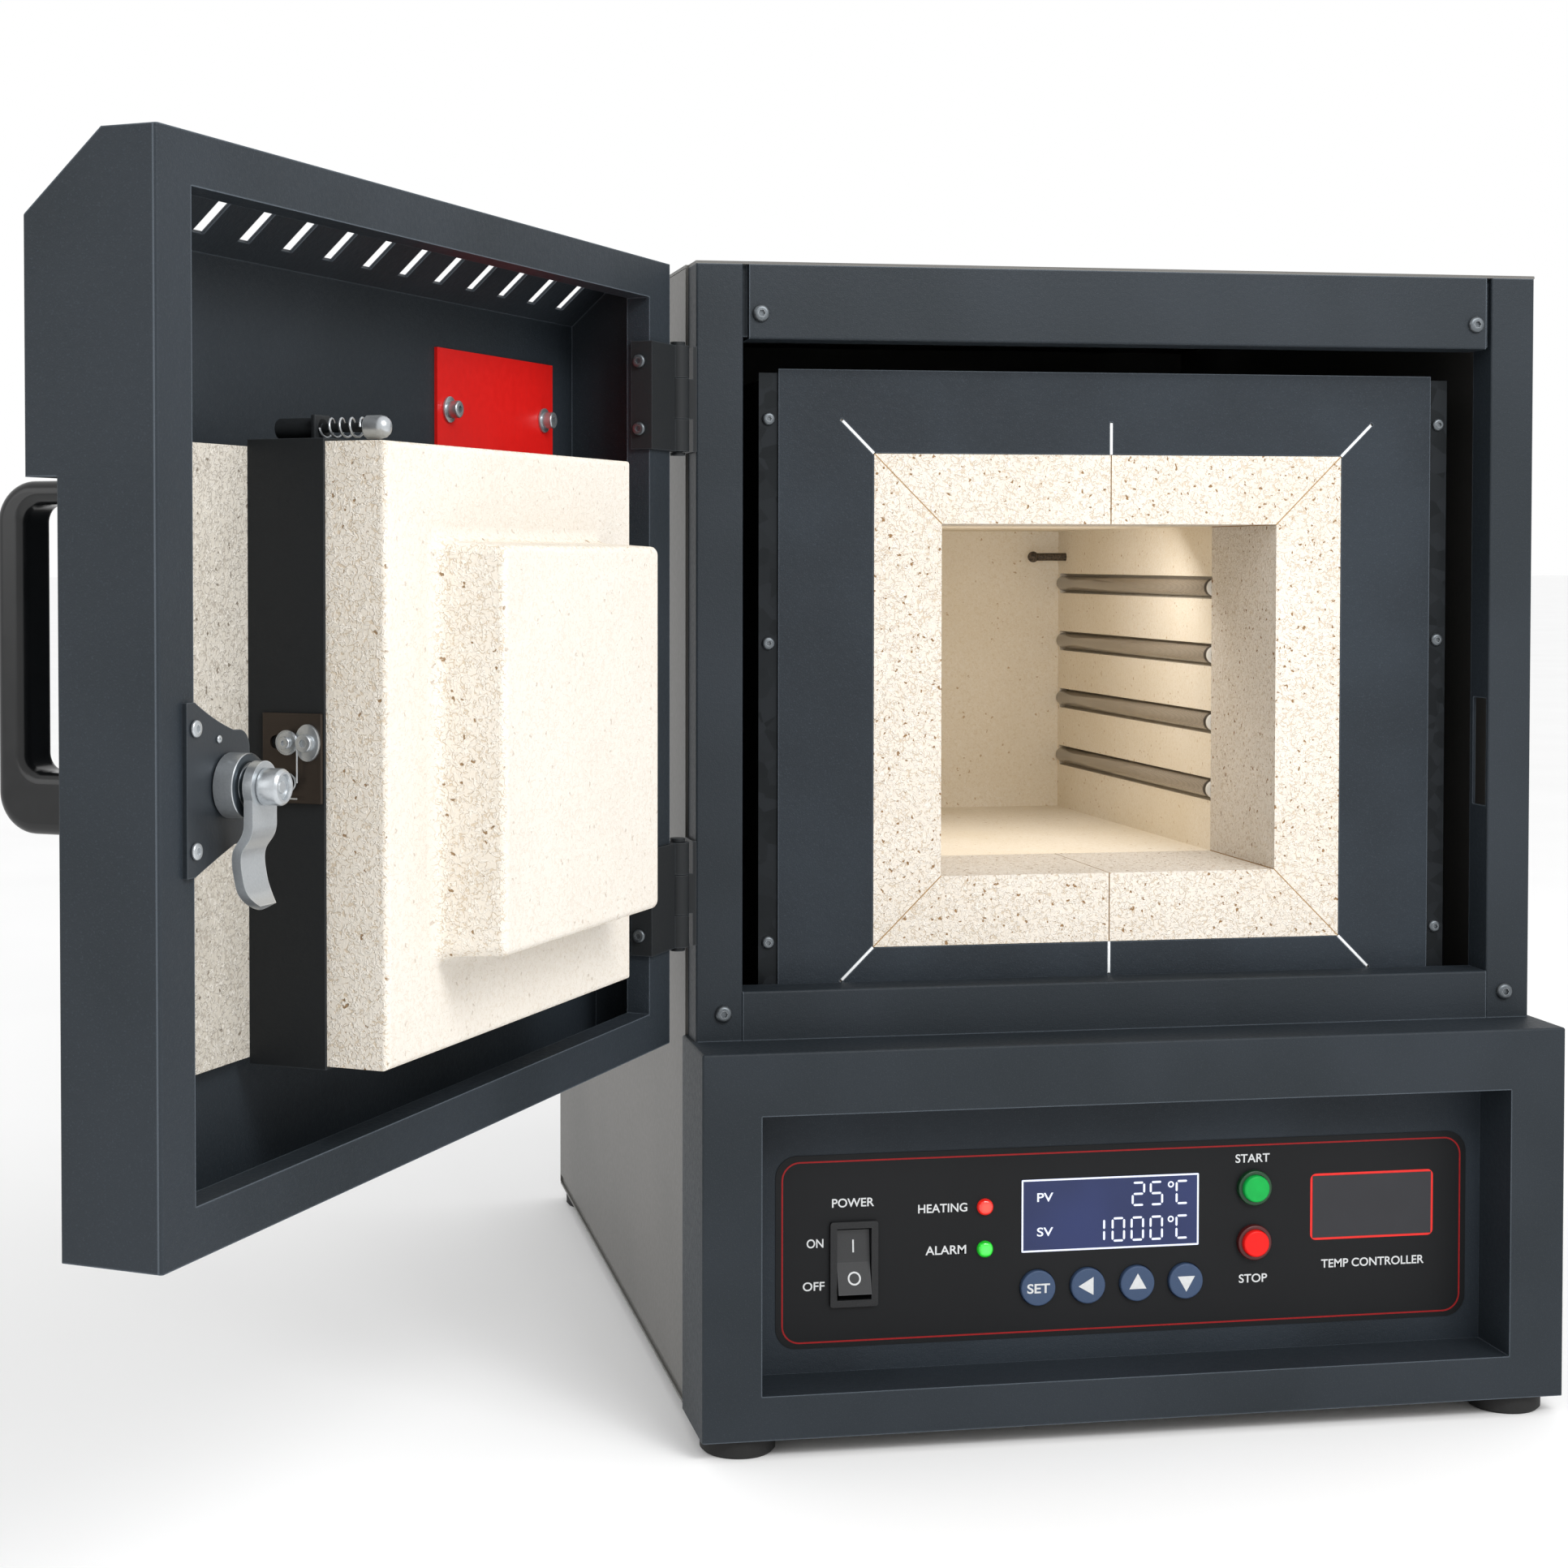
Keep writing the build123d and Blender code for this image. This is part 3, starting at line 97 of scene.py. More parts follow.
class Reading:
    """A number that varies over a surface. Sums and products of readings add Math nodes."""

    def __init__(self, finish, socket):
        self.finish = finish
        self.socket = socket

    def worked(self, operation, *numbers):
        node = self.finish.node("Math", {"operation": operation}, dict(enumerate(numbers)))
        return Reading(self.finish, node.outputs[0])

    def __add__(self, other):
        return self.worked("ADD", self, other)

    __radd__ = __add__

    def __sub__(self, other):
        return self.worked("SUBTRACT", self, other)

    def __rsub__(self, other):
        return self.worked("SUBTRACT", other, self)

    def __mul__(self, other):
        return self.worked("MULTIPLY", self, other)

    __rmul__ = __mul__

    def __abs__(self):
        return self.worked("ABSOLUTE", self)

    def under(self, limit):
        return self.worked("LESS_THAN", self, limit)

    def most(self, other):
        return self.worked("MAXIMUM", self, other)

    def sine(self):
        return self.worked("SINE", self)

    def between(self, low, high):
        """0 at low, 1 at high, and smooth between them."""
        node = self.finish.node("MapRange", {"interpolation_type": "SMOOTHSTEP"}, {0: self, 1: low, 2: high})
        return Reading(self.finish, node.outputs[0])


class Finish:
    """A procedural material."""

    def __init__(self, name):
        self.material = bpy.data.materials.new(name)
        self.material.use_nodes = True
        self.material.node_tree.nodes.clear()
        self.place = self.node("TexCoord").outputs["Object"]

    def node(self, kind, settings=None, sockets=None):
        """Any node: its type, its settings, then the values or links of its sockets."""
        tree = self.material.node_tree
        made = tree.nodes.new("ShaderNode" + kind)
        for name, value in (settings or {}).items():
            setattr(made, name, value)
        for key, value in (sockets or {}).items():
            value = value.socket if isinstance(value, Reading) else value
            if isinstance(value, bpy.types.NodeSocket):
                tree.links.new(value, made.inputs[key])
            else:
                made.inputs[key].default_value = value
        return made

    def along(self, axis):
        """The place along X, Y or Z, in metres."""
        return Reading(self, self.node("SeparateXYZ", sockets={0: self.place}).outputs[axis])

    def beside(self, *step):
        """The place moved by a step, so that the same noise differs there."""
        return self.node("VectorMath", {"operation": "ADD"}, {0: self.place, 1: step}).outputs[0]

    def dot(self, first, second):
        """The dot product of two vectors."""
        made = self.node("VectorMath", {"operation": "DOT_PRODUCT"}, {0: first, 1: second})
        return Reading(self, made.outputs["Value"])

    def cloud(self, scale, detail=2.0, place=None):
        """Noise of so many lumps to a metre."""
        sockets = {"Vector": place or self.place, "Scale": scale, "Detail": detail}
        return Reading(self, self.node("TexNoise", sockets=sockets).outputs[0])

    def mixed(self, share, low, high):
        """A colour from low, where the share is 0, to high, where it is 1."""
        return self.node("Mix", {"data_type": "RGBA"}, {0: share, 6: low, 7: high}).outputs[2]

    def edges(self, radius, low=0.02, high=0.25):
        """1 on edges that are sharper than the radius, 0 on flat places."""
        rounded = self.node("Bevel", {"samples": 4}, {0: radius}).outputs[0]
        return (1 - self.dot(rounded, self.node("NewGeometry").outputs["Normal"])).between(low, high)

    def shade(self, colour, roughness, height=None, depth=0.0002, strength=1.0, **constants):
        """Ends the material: colour and roughness, a height for the bump, and the shader's other numbers."""
        sockets = {"Base Color": colour, "Roughness": roughness}
        for name, value in constants.items():
            sockets[name.replace("_", " ").title().replace("Ior", "IOR")] = value
        if height is not None:
            bump = self.node("Bump", sockets={"Height": height, "Distance": depth, "Strength": strength})
            sockets["Normal"] = bump.outputs[0]
        shader = self.node("BsdfPrincipled", sockets=sockets)
        self.node("OutputMaterial", sockets={0: shader.outputs[0]})


def paint(finish, *names):
    """Gives CAD nodes a finish."""
    for name in names:
        for seat in nodes[name].material_slots:
            seat.material = finish.material


bench_paint = Finish("bench_paint")
bench_paint.shade(bench_paint.mixed(bench_paint.cloud(3.0), tone("#f4f4f4"), tone("#fbfbfb")), 0.8)
bench.data.materials.append(bench_paint.material)

room = bpy.data.worlds.new("room")
room.use_nodes = True
background = room.node_tree.nodes["Background"]
background.inputs["Color"].default_value = (1.0, 1.0, 1.0, 1.0)
background.inputs["Strength"].default_value = 1.0
bpy.context.scene.world = room


def lamp_over(name, spot, aim, size, watts):
    """A soft rectangular light at a spot, turned to its aim."""
    turn = (Vector(aim) - Vector(spot)).to_track_quat("-Z", "Y").to_euler()
    bpy.ops.object.light_add(type="AREA", location=spot, rotation=turn)
    light = bpy.context.object
    light.name = name
    light.data.shape = "RECTANGLE"
    light.data.size, light.data.size_y = size
    light.data.energy = watts


lamp_over("key_light", (1.3, -2.0, 1.7), (0.1, 0.1, 0.35), (1.2, 0.9), 22)
lamp_over("fill_light", (-1.9, -1.1, 1.0), (-0.1, 0.1, 0.3), (1.2, 1.2), 7)
lamp_over("chamber_light", (0.35, -1.1, 1.2), (0.2, 0.2, 0.33), (0.5, 0.4), 8)

# Front frame, control box and door shell: folded sheet steel with a fine-textured blue-grey powder coat.
# The folded edges are painted a little lighter, as highlights.
frame_paint = Finish("frame_paint")
grit = frame_paint.cloud(1500, 2.0)
orange_peel = frame_paint.cloud(420, 1.0)
drift = frame_paint.cloud(9, 2.0)
colour = frame_paint.mixed(drift.between(0.3, 0.7), tone("#1f252a"), tone("#262c32"))
colour = frame_paint.mixed(grit.between(0.55, 0.75) * 0.35, colour, tone("#3b434b"))
colour = frame_paint.mixed(frame_paint.edges(0.0012) * 0.55, colour, tone("#76808a"))
frame_paint.shade(colour, 0.46 + 0.16 * orange_peel, grit + 0.9 * orange_peel, 0.00022, 0.55,
                  specular_ior_level=0.22)
paint(frame_paint, "control_bezel", "left_post", "right_post", "top_rail", "bottom_rail", "door_skin",
      "door_rim")

# Side, top, rear and base covers: folded sheet steel with a smooth warm grey paint, screwed to the frame. The
# folds are painted a little lighter, as highlights.
cover_paint = Finish("cover_paint")
peel = cover_paint.cloud(380, 1.0)
drift = cover_paint.cloud(5, 2.0)
colour = cover_paint.mixed(drift.between(0.3, 0.7), tone("#545350"), tone("#5f5d5a"))
colour = cover_paint.mixed(cover_paint.edges(0.0010) * 0.5, colour, tone("#8d8c88"))
cover_paint.shade(colour, 0.42 + 0.1 * peel, peel, 0.00012, 0.5, specular_ior_level=0.35)
paint(cover_paint, "base_plate", "left_side_cover", "right_side_cover", "top_cover", "rear_cover")

# Face plate round the chamber's mouth and the plate of the control panel: the powder coat again, a little
# darker and bluer, on sheets that sit back from the front.
plate_paint = Finish("plate_paint")
grit = plate_paint.cloud(1500, 2.0)
orange_peel = plate_paint.cloud(330, 1.0)
drift = plate_paint.cloud(12, 2.0)
colour = plate_paint.mixed(drift.between(0.3, 0.7), tone("#1f252b"), tone("#262d34"))
colour = plate_paint.mixed(grit.between(0.55, 0.75) * 0.4, colour, tone("#3c454e"))
# The edges are painted lighter, as highlights.
colour = plate_paint.mixed(plate_paint.edges(0.0010) * 0.5, colour, tone("#77818b"))
plate_paint.shade(colour, 0.5 + 0.14 * orange_peel, grit + 1.1 * orange_peel, 0.00024, 0.6,
                  specular_ior_level=0.22)
paint(plate_paint, "control_panel", "face_plate")

# Inner casing and deck: sheet steel with a zinc coat, folded and spot-welded, and painted near-black as the
# shade in the narrow gap behind the face plate. The coat shows large dull crystals and fine scratches.
shell_steel = Finish("shell_steel")


def cell_numbers(finish, cells):
    """A number from 0 to 1 that is the same all over each cell of a Voronoi texture."""
    return Reading(finish, finish.node("SeparateColor", sockets={0: cells.outputs["Color"]}).outputs[0])


crystals = shell_steel.node("TexVoronoi", {"feature": "F1"}, {"Vector": shell_steel.place, "Scale": 120.0})
crystal = cell_numbers(shell_steel, crystals)
scratch = shell_steel.cloud(700, 3.0)
colour = shell_steel.mixed(crystal, tone("#15181a"), tone("#202326"))
shell_steel.shade(colour, 0.38 + 0.2 * crystal, scratch, 0.0001, 0.3, metallic=0.5, specular_ior_level=0.2)
paint(shell_steel, "deck_plate", "muffle_casing")

# Mouth of the chamber: mitred collar of vacuum-formed ceramic fibre. Its cut face shows short cream fibres
# with brown specks, and thin brown joints on the mitres and in the middle above and below.
collar_fibre = Finish("collar_fibre")
MOUTH = Vector(((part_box("collar_left")[0].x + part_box("collar_right")[1].x) / 2, 0,
                (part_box("collar_bottom")[0].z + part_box("collar_top")[1].z) / 2))


def fibre_marks(finish, scale, thick, seed):
    """Short curled fibres: pieces of the level lines of a noise, cut off by a second noise."""
    curl = finish.cloud(scale, 1.0, finish.beside(seed, 1.7 * seed, 2.3 * seed))
    cut = finish.cloud(scale * 1.3, 0.0, finish.beside(seed + 3.1, 1.7 * seed + 5.3, 2.3 * seed + 7.7))
    return (1 - abs(curl - 0.5).between(thick * 0.4, thick)) * cut.between(0.42, 0.52)


def specks(finish, scale, size, seed, share):
    """Small ragged specks, in a share of the cells of a Voronoi texture whose places a noise bends."""
    moved = finish.beside(seed, seed, seed)
    bend = finish.node("TexNoise", sockets={"Vector": moved, "Scale": scale * 1.5}).outputs["Color"]
    reach = (1.1 / scale,) * 3
    bent = finish.node("VectorMath", {"operation": "MULTIPLY_ADD"}, {0: bend, 1: reach, 2: moved})
    cells = finish.node("TexVoronoi", {"feature": "F1"}, {"Vector": bent.outputs[0], "Scale": scale})
    near = 1 - Reading(finish, cells.outputs["Distance"]).between(size * 0.6, size)
    return near * cell_numbers(finish, cells).under(share)


def fibre_body(finish, tones, speck_share, relief=1.0):
    """Colour and height of a board of ceramic fibre, from its base, light, dark and brown tones."""
    base, light, dark, brown = (tone(code) for code in tones)
    pale = fibre_marks(finish, 330, 0.045, 1.0).most(fibre_marks(finish, 360, 0.04, 2.0))
    tan = fibre_marks(finish, 300, 0.035, 4.0).most(fibre_marks(finish, 340, 0.035, 6.0))
    spots = specks(finish, 260, 0.24, 0.5, speck_share)
    spots = spots.most(specks(finish, 150, 0.14, 1.5, speck_share * 0.6))
    drift = finish.cloud(14, 3.0)
    skin = finish.mixed(drift.between(0.3, 0.7), base, finish.mixed(0.5, base, light))
    skin = finish.mixed(tan * 0.75, skin, dark)
    skin = finish.mixed(pale * 0.85, skin, light)
    skin = finish.mixed(spots, skin, brown)
    height = pale * (0.8 * relief) - tan * (0.6 * relief) - spots * 0.8 + 0.4 * finish.cloud(900, 2.0)
    return skin, height


skin, height = fibre_body(collar_fibre, ("#d8cfc2", "#e6dfd5", "#c1af97", "#937452"), 0.45)
across = abs(collar_fibre.along("X") - MOUTH.x)
up = abs(collar_fibre.along("Z") - MOUTH.z)
MITRE_HALF, MIDDLE_HALF = 0.00042, 0.00032
joint = abs(across - up).under(MITRE_HALF).most(across.under(MIDDLE_HALF) * across.under(up))
collar_fibre.shade(collar_fibre.mixed(joint, skin, tone("#a98a63")), 0.92, height - joint, 0.00035, 0.8,
                   specular_ior_level=0.1)
paint(collar_fibre, "collar_top", "collar_bottom", "collar_left", "collar_right")

# Chamber behind the collar: boards of vacuum-formed ceramic fibre, smoother than the collar and a little
# darker in places from the heat. A small soft light inside the mouth, over the hearth, stands for the light
# that the pale boards throw to each other.
chamber_fibre = Finish("chamber_fibre")
skin, height = fibre_body(chamber_fibre, ("#ede2cf", "#f2e9da", "#e4d6be", "#c8ae8b"), 0.12, 0.4)
scorch = chamber_fibre.cloud(11, 2.0).between(0.35, 0.8)
chamber_fibre.shade(chamber_fibre.mixed(scorch * 0.35, skin, tone("#dfcfb1")), 0.94, height, 0.00016, 0.5,
                    specular_ior_level=0.1)
paint(chamber_fibre, "chamber_left_wall", "chamber_right_wall", "chamber_roof", "hearth_plate",
      "chamber_back")
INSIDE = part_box("collar_top")[1].y + 0.03
UNDER_ROOF = Vector((MOUTH.x, INSIDE, MOUTH.z + 0.08))
ON_HEARTH = Vector((MOUTH.x, INSIDE + 0.11, MOUTH.z - 0.09))
lamp_over("mouth_light", UNDER_ROOF, ON_HEARTH, (0.12, 0.05), 0.13)

# Heading rods: resistance wire coils in quartz tubes, held in grooves of the side walls. Each has a white
# ceramic end with a hole, painted dark behind its face as the shade in the hole, and the wire shows through
# the tube as fine rings.
ROD_LOW, ROD_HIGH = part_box("heating_rods")
ROD_RADIUS = 0.005
RODS_A_SIDE = 4
ROD_PITCH = (ROD_HIGH.z - ROD_LOW.z - 2 * ROD_RADIUS) / (RODS_A_SIDE - 1)


def take(*pieces):
    """Selects only these pieces; the first one is active."""
    bpy.ops.object.select_all(action="DESELECT")
    for piece in pieces:
        piece.select_set(True)
    bpy.context.view_layer.objects.active = pieces[0]


def settle(piece, turn=None):
    """Puts a piece's place, and a turn if there is one, into its mesh."""
    bpy.context.view_layer.update()
    if turn is not None:
        piece.matrix_world = turn @ piece.matrix_world
    take(piece)
    bpy.ops.object.transform_apply(location=True, rotation=True, scale=True)
    return piece


def picked(piece, test):
    """Opens edit mode with the faces selected whose middle and normal pass the test."""
    take(piece)
    bpy.ops.object.mode_set(mode="EDIT")
    bpy.ops.mesh.select_mode(type="FACE")
    bpy.ops.mesh.select_all(action="DESELECT")
    bpy.ops.object.mode_set(mode="OBJECT")
    for face in piece.data.polygons:
        face.select = test(face.center, face.normal)
    bpy.ops.object.mode_set(mode="EDIT")


def done(piece, smooth=35):
    """Leaves edit mode and shades the piece smooth up to an angle in degrees."""
    bpy.ops.object.mode_set(mode="OBJECT")
    take(piece)
    bpy.ops.object.shade_smooth_by_angle(angle=math.radians(smooth))
    return piece


def bevelled(piece, width, segments=2):
    """Rounds the edges that turn by more than 30 degrees."""
    take(piece)
    rounding = piece.modifiers.new("rounding", "BEVEL")
    rounding.width, rounding.segments = width, segments
    rounding.limit_method, rounding.angle_limit = "ANGLE", math.radians(30)
    bpy.ops.object.modifier_apply(modifier=rounding.name)
    return piece


def joined(pieces):
    """Joins pieces into one."""
    take(*pieces)
    if len(pieces) > 1:
        bpy.ops.object.join()
    return bpy.context.object


def fit(piece, name, body, slot, finish, *replaced):
    """Names a finished piece, gives it its finish and fixes it to a body, perhaps in place of CAD nodes."""
    piece.name = piece.data.name = name
    piece.data.materials.clear()
    piece.data.materials.append(finish.material)
    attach(piece, body)
    if replaced:
        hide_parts(*replaced)


ALONG_X, ALONG_Y, ALONG_Z = (0, math.pi / 2, 0), (math.pi / 2, 0, 0), (0, 0, 0)


def cylinder(radius, depth, spot, turn=ALONG_Y, sides=32):
    """A cylinder round the spot, along the way that the turn gives to +Z."""
    bpy.ops.object.select_all(action="DESELECT")
    bpy.ops.mesh.primitive_cylinder_add(vertices=sides, radius=radius, depth=depth, location=spot,
                                        rotation=turn)
    return bpy.context.object


def ring(radius, thick, spot=(0, 0, 0), turn=ALONG_Z, sides=32, flat=1.0):
    """A ring of round wire, which may be flattened."""
    bpy.ops.object.select_all(action="DESELECT")
    bpy.ops.mesh.primitive_torus_add(major_radius=radius, minor_radius=thick, major_segments=sides,
                                     minor_segments=8, location=spot, rotation=turn)
    made = bpy.context.object
    made.scale = (1, 1, flat)
    return made


def brick(low, high):
    """A box between two corners."""
    bpy.ops.object.select_all(action="DESELECT")
    bpy.ops.mesh.primitive_cube_add(size=1, location=[(a + b) / 2 for a, b in zip(low, high)])
    bpy.context.object.scale = [b - a for a, b in zip(low, high)]
    return settle(bpy.context.object)


END_LENGTH, TUBE_INSET = 0.006, 0.004
WALL, BORE_DEPTH = 0.0026, 0.0045
tubes, ends = [], []
for x in (ROD_LOW.x + ROD_RADIUS, ROD_HIGH.x - ROD_RADIUS):
    for k in range(RODS_A_SIDE):
        z = ROD_LOW.z + ROD_RADIUS + k * ROD_PITCH
        middle_y = (ROD_LOW.y + TUBE_INSET + ROD_HIGH.y) / 2
        tube = settle(cylinder(ROD_RADIUS - 0.0001, ROD_HIGH.y - ROD_LOW.y - TUBE_INSET, (x, middle_y, z)))
        tubes.append(bevelled(tube, 0.0006))
        end = settle(cylinder(ROD_RADIUS, END_LENGTH, (x, ROD_LOW.y + END_LENGTH / 2, z)))
        picked(end, lambda centre, normal: normal.y < -0.9)
        bpy.ops.mesh.inset(thickness=WALL)
        bpy.ops.mesh.extrude_region_move(TRANSFORM_OT_translate={"value": (0, BORE_DEPTH, 0)})
        ends.append(bevelled(done(end), 0.0005))
quartz = Finish("rod_quartz")
y = quartz.along("Y")
turns = (y * 4200.0 + 1.5 * quartz.cloud(60, 1.0)).sine().between(-0.6, 0.9)
# The tubes are painted darker towards the back of the chamber, as shade.
front = y.between(0.2, 0.36)
colour = quartz.mixed(turns, tone("#6d6254"), tone("#b7ab9a"))
quartz.shade(quartz.mixed(front * 0.55, colour, tone("#6a5f50")), 0.16 + 0.2 * turns, turns, 0.00012, 0.35,
             coat_weight=0.6, coat_roughness=0.08)
white_ceramic = Finish("rod_end_ceramic")
grain = white_ceramic.cloud(1800, 2.0)
# The end is painted dark from just behind its face, as the shade in its hole.
bore_shade = white_ceramic.along("Y").between(ROD_LOW.y + 0.0006, ROD_LOW.y + 0.0022)
colour = white_ceramic.mixed(grain, tone("#d9d5cc"), tone("#e8e5de"))
colour = white_ceramic.mixed(bore_shade, colour, tone("#3a322a"))
white_ceramic.shade(colour, 0.55 + 0.1 * grain, grain, 0.00008, 0.4)
fit(done(joined(tubes)), "heating_rod_tubes", "furnace", "white_ceramic", quartz, "heating_rods")
fit(done(joined(ends)), "heating_rod_ends", "furnace", "white_ceramic", white_ceramic, "heating_rods")

# Thermocouple: a probe in a heat-proof steel sheath, pushed through a hole of the chamber's wall. The heat
# has scaled it dark and brown.
sheath = Finish("probe_sheath")
scale_marks = sheath.cloud(900, 4.0)
sheath.shade(sheath.mixed(scale_marks.between(0.35, 0.65), tone("#3a342f"), tone("#6b5f52")),
             0.45 + 0.3 * scale_marks, scale_marks, 0.0002, 0.7, metallic=0.5)
paint(sheath, "thermocouple")

# Insulation: ceramic fibre felt packed between the casing and the chamber's boards, and a board of the same
# behind the door's block, painted greyish as shade. Only their cut edges show.
felt_in_shade = Finish("insulation_felt_in_shade")
skin, height = fibre_body(felt_in_shade, ("#b9b3a8", "#cfcac1", "#9d958a", "#7d7468"), 0.15)
felt_in_shade.shade(skin, 0.96, height, 0.0004, 0.8, specular_ior_level=0.1)
paint(felt_in_shade, "insulation", "door_board")

# Packing in the six expansion slots of the face plate, which let the hot plate grow: strips of white ceramic
# paper, pushed in flush.
packing = Finish("packing_paper")
fuzz = packing.cloud(1500, 3.0)
packing.shade(packing.mixed(fuzz, tone("#dfe2e4"), tone("#f0f2f3")), 0.9, fuzz, 0.0001, 0.5)
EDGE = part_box("collar_right")[1].x - MOUTH.x + 0.0002
SLANTED_SLOT, UPRIGHT_SLOT, SLOT_HALF = 0.0235, 0.0166, 0.0007
PLATE_LOW, PLATE_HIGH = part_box("face_plate")
strips = []
for degrees in (45, 90, 135, 225, 270, 315):
    slanted = degrees % 90 != 0
    near = EDGE * math.sqrt(2) if slanted else EDGE
    far = near + (SLANTED_SLOT if slanted else UPRIGHT_SLOT)
    turn = Matrix.Translation(MOUTH) @ Matrix.Rotation(-math.radians(degrees), 4, "Y")
    strip = brick((near, PLATE_LOW.y - 0.0001, -SLOT_HALF), (far, PLATE_HIGH.y, SLOT_HALF))
    strips.append(settle(bevelled(strip, 0.0002, 1), turn))
fit(joined(strips), "slot_packing", "furnace", "white_ceramic", packing)

# Screws of the casing: blackened steel button heads that hold the rails, posts and face plate. Their edges,
# the rim round each socket among them, are painted bright, as highlights.
screw_steel = Finish("screw_steel")
wear = screw_steel.cloud(600, 3.0)
socket_rim_highlight = screw_steel.edges(0.0006, 0.03, 0.3)
colour = screw_steel.mixed(wear, tone("#4d5256"), tone("#6e7377"))
colour = screw_steel.mixed(socket_rim_highlight * 0.8, colour, tone("#b4b8bb"))
screw_steel.shade(colour, 0.3 + 0.2 * wear, wear, 0.00008, 0.4, metallic=0.85)
paint(screw_steel, "case_screws")

# Feet: four moulded black rubber pads, screwed under the control box. The rubber has a faint grey bloom.
# They lift the slots of the base plate off the bench.
foot_rubber = Finish("foot_rubber")
bloom = foot_rubber.cloud(240, 3.0)
colour = foot_rubber.mixed(bloom, tone("#161616"), tone("#262626"))
foot_rubber.shade(colour, 0.6 + 0.2 * bloom, bloom, 0.0003, 0.6, specular_ior_level=0.3)
paint(foot_rubber, "foot_pads")

# Electrics: the rocker's bezel in the panel, the relay and the terminal block inside the control box and the
# cable gland at the rear, all moulded in black or grey plastic with a sparked surface.
moulded_black = Finish("moulded_black")
spark = moulded_black.cloud(1900, 2.0)
colour = moulded_black.mixed(spark.between(0.3, 0.7), tone("#141516"), tone("#1f2022"))
moulded_black.shade(colour, 0.38 + 0.2 * spark, spark, 0.0001, 0.5, specular_ior_level=0.35)
paint(moulded_black, "rocker_bezel", "cable_gland", "solid_state_relay")
moulded_grey = Finish("moulded_grey")
spark = moulded_grey.cloud(1500, 2.0)
colour = moulded_grey.mixed(spark, tone("#5c5e60"), tone("#6a6c6e"))
moulded_grey.shade(colour, 0.5 + 0.1 * spark, spark, 0.0001)
paint(moulded_grey, "terminal_block")

# Panel film: dark printed polyester with a fine matt grain, on the plate in the recess. A thin red line runs
# round its edge and a red border round the window of the temperature controller.
FILM_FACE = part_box("panel_overlay")[0].y
panel_film = Finish("panel_film")
grain = panel_film.cloud(2600, 1.0)
drift = panel_film.cloud(10, 2.0)
colour = panel_film.mixed(drift, tone("#151617"), tone("#1a1b1d"))
panel_film.shade(colour, 0.42 + 0.12 * grain, grain, 0.00005, 0.3, specular_ior_level=0.15)
paint(panel_film, "panel_overlay")
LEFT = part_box("left_post")[0].x
INK = 0.00012


def thicken(step):
    """Gives a flat outline that is open in edit mode its thickness, as a step along Y."""
    bpy.ops.mesh.select_all(action="SELECT")
    bpy.ops.mesh.extrude_region_move(TRANSFORM_OT_translate={"value": (0, step, 0)})
    bpy.ops.mesh.select_all(action="SELECT")
    bpy.ops.mesh.normals_make_consistent(inside=False)
    bpy.ops.object.mode_set(mode="OBJECT")


def printed_border(left, right, low, high, corner, line, face, name, finish):
    """A printed line round a rounded rectangle; its sides are from the casing's left and the bench."""
    middle = (LEFT + (left + right) / 2, face, (low + high) / 2)
    bpy.ops.object.select_all(action="DESELECT")
    bpy.ops.mesh.primitive_plane_add(size=1, location=middle, rotation=ALONG_Y)
    border = bpy.context.object
    border.scale = (right - left, high - low, 1)
    settle(border)
    bpy.ops.object.mode_set(mode="EDIT")
    bpy.ops.mesh.select_all(action="SELECT")
    bpy.ops.mesh.bevel(offset=corner, segments=10, affect="VERTICES")
    bpy.ops.object.mode_set(mode="OBJECT")
    picked(border, lambda centre, normal: True)
    bpy.ops.mesh.inset(thickness=line)
    bpy.ops.mesh.delete(type="FACE")
    thicken(-INK)
    fit(border, name, "furnace", "panel_film", finish)


red_ink = Finish("red_ink")
rub = red_ink.cloud(500, 3.0)
red_ink.shade(red_ink.mixed(rub, tone("#7d1517"), tone("#9b1c1e")), 0.5 + 0.1 * rub, specular_ior_level=0.2)
bright_red_ink = Finish("bright_red_ink")
rub = bright_red_ink.cloud(500, 3.0)
bright_red_ink.shade(bright_red_ink.mixed(rub, tone("#d42a26"), tone("#e2342f")), 0.45 + 0.1 * rub,
                     specular_ior_level=0.2)
printed_border(0.044, 0.412, 0.047, 0.140, 0.0095, 0.0008, FILM_FACE, "panel_line", red_ink)
printed_border(0.3279, 0.3965, 0.0882, 0.1232, 0.0032, 0.0013, FILM_FACE, "window_border", bright_red_ink)

# Words on the film: plain capitals screen-printed in white ink, slightly raised. They name the switch, the
# lamps, the buttons and the controller.
white_ink = Finish("white_ink")
rub = white_ink.cloud(700, 3.0)
colour = white_ink.mixed(rub, tone("#bfc1c2"), tone("#d3d5d6"))
white_ink.shade(colour, 0.5 + 0.1 * rub, specular_ior_level=0.2)
WORD_HEIGHT, WORD_THICK, TEXT_EXTRUDE = 0.0045, 0.0001, 0.02


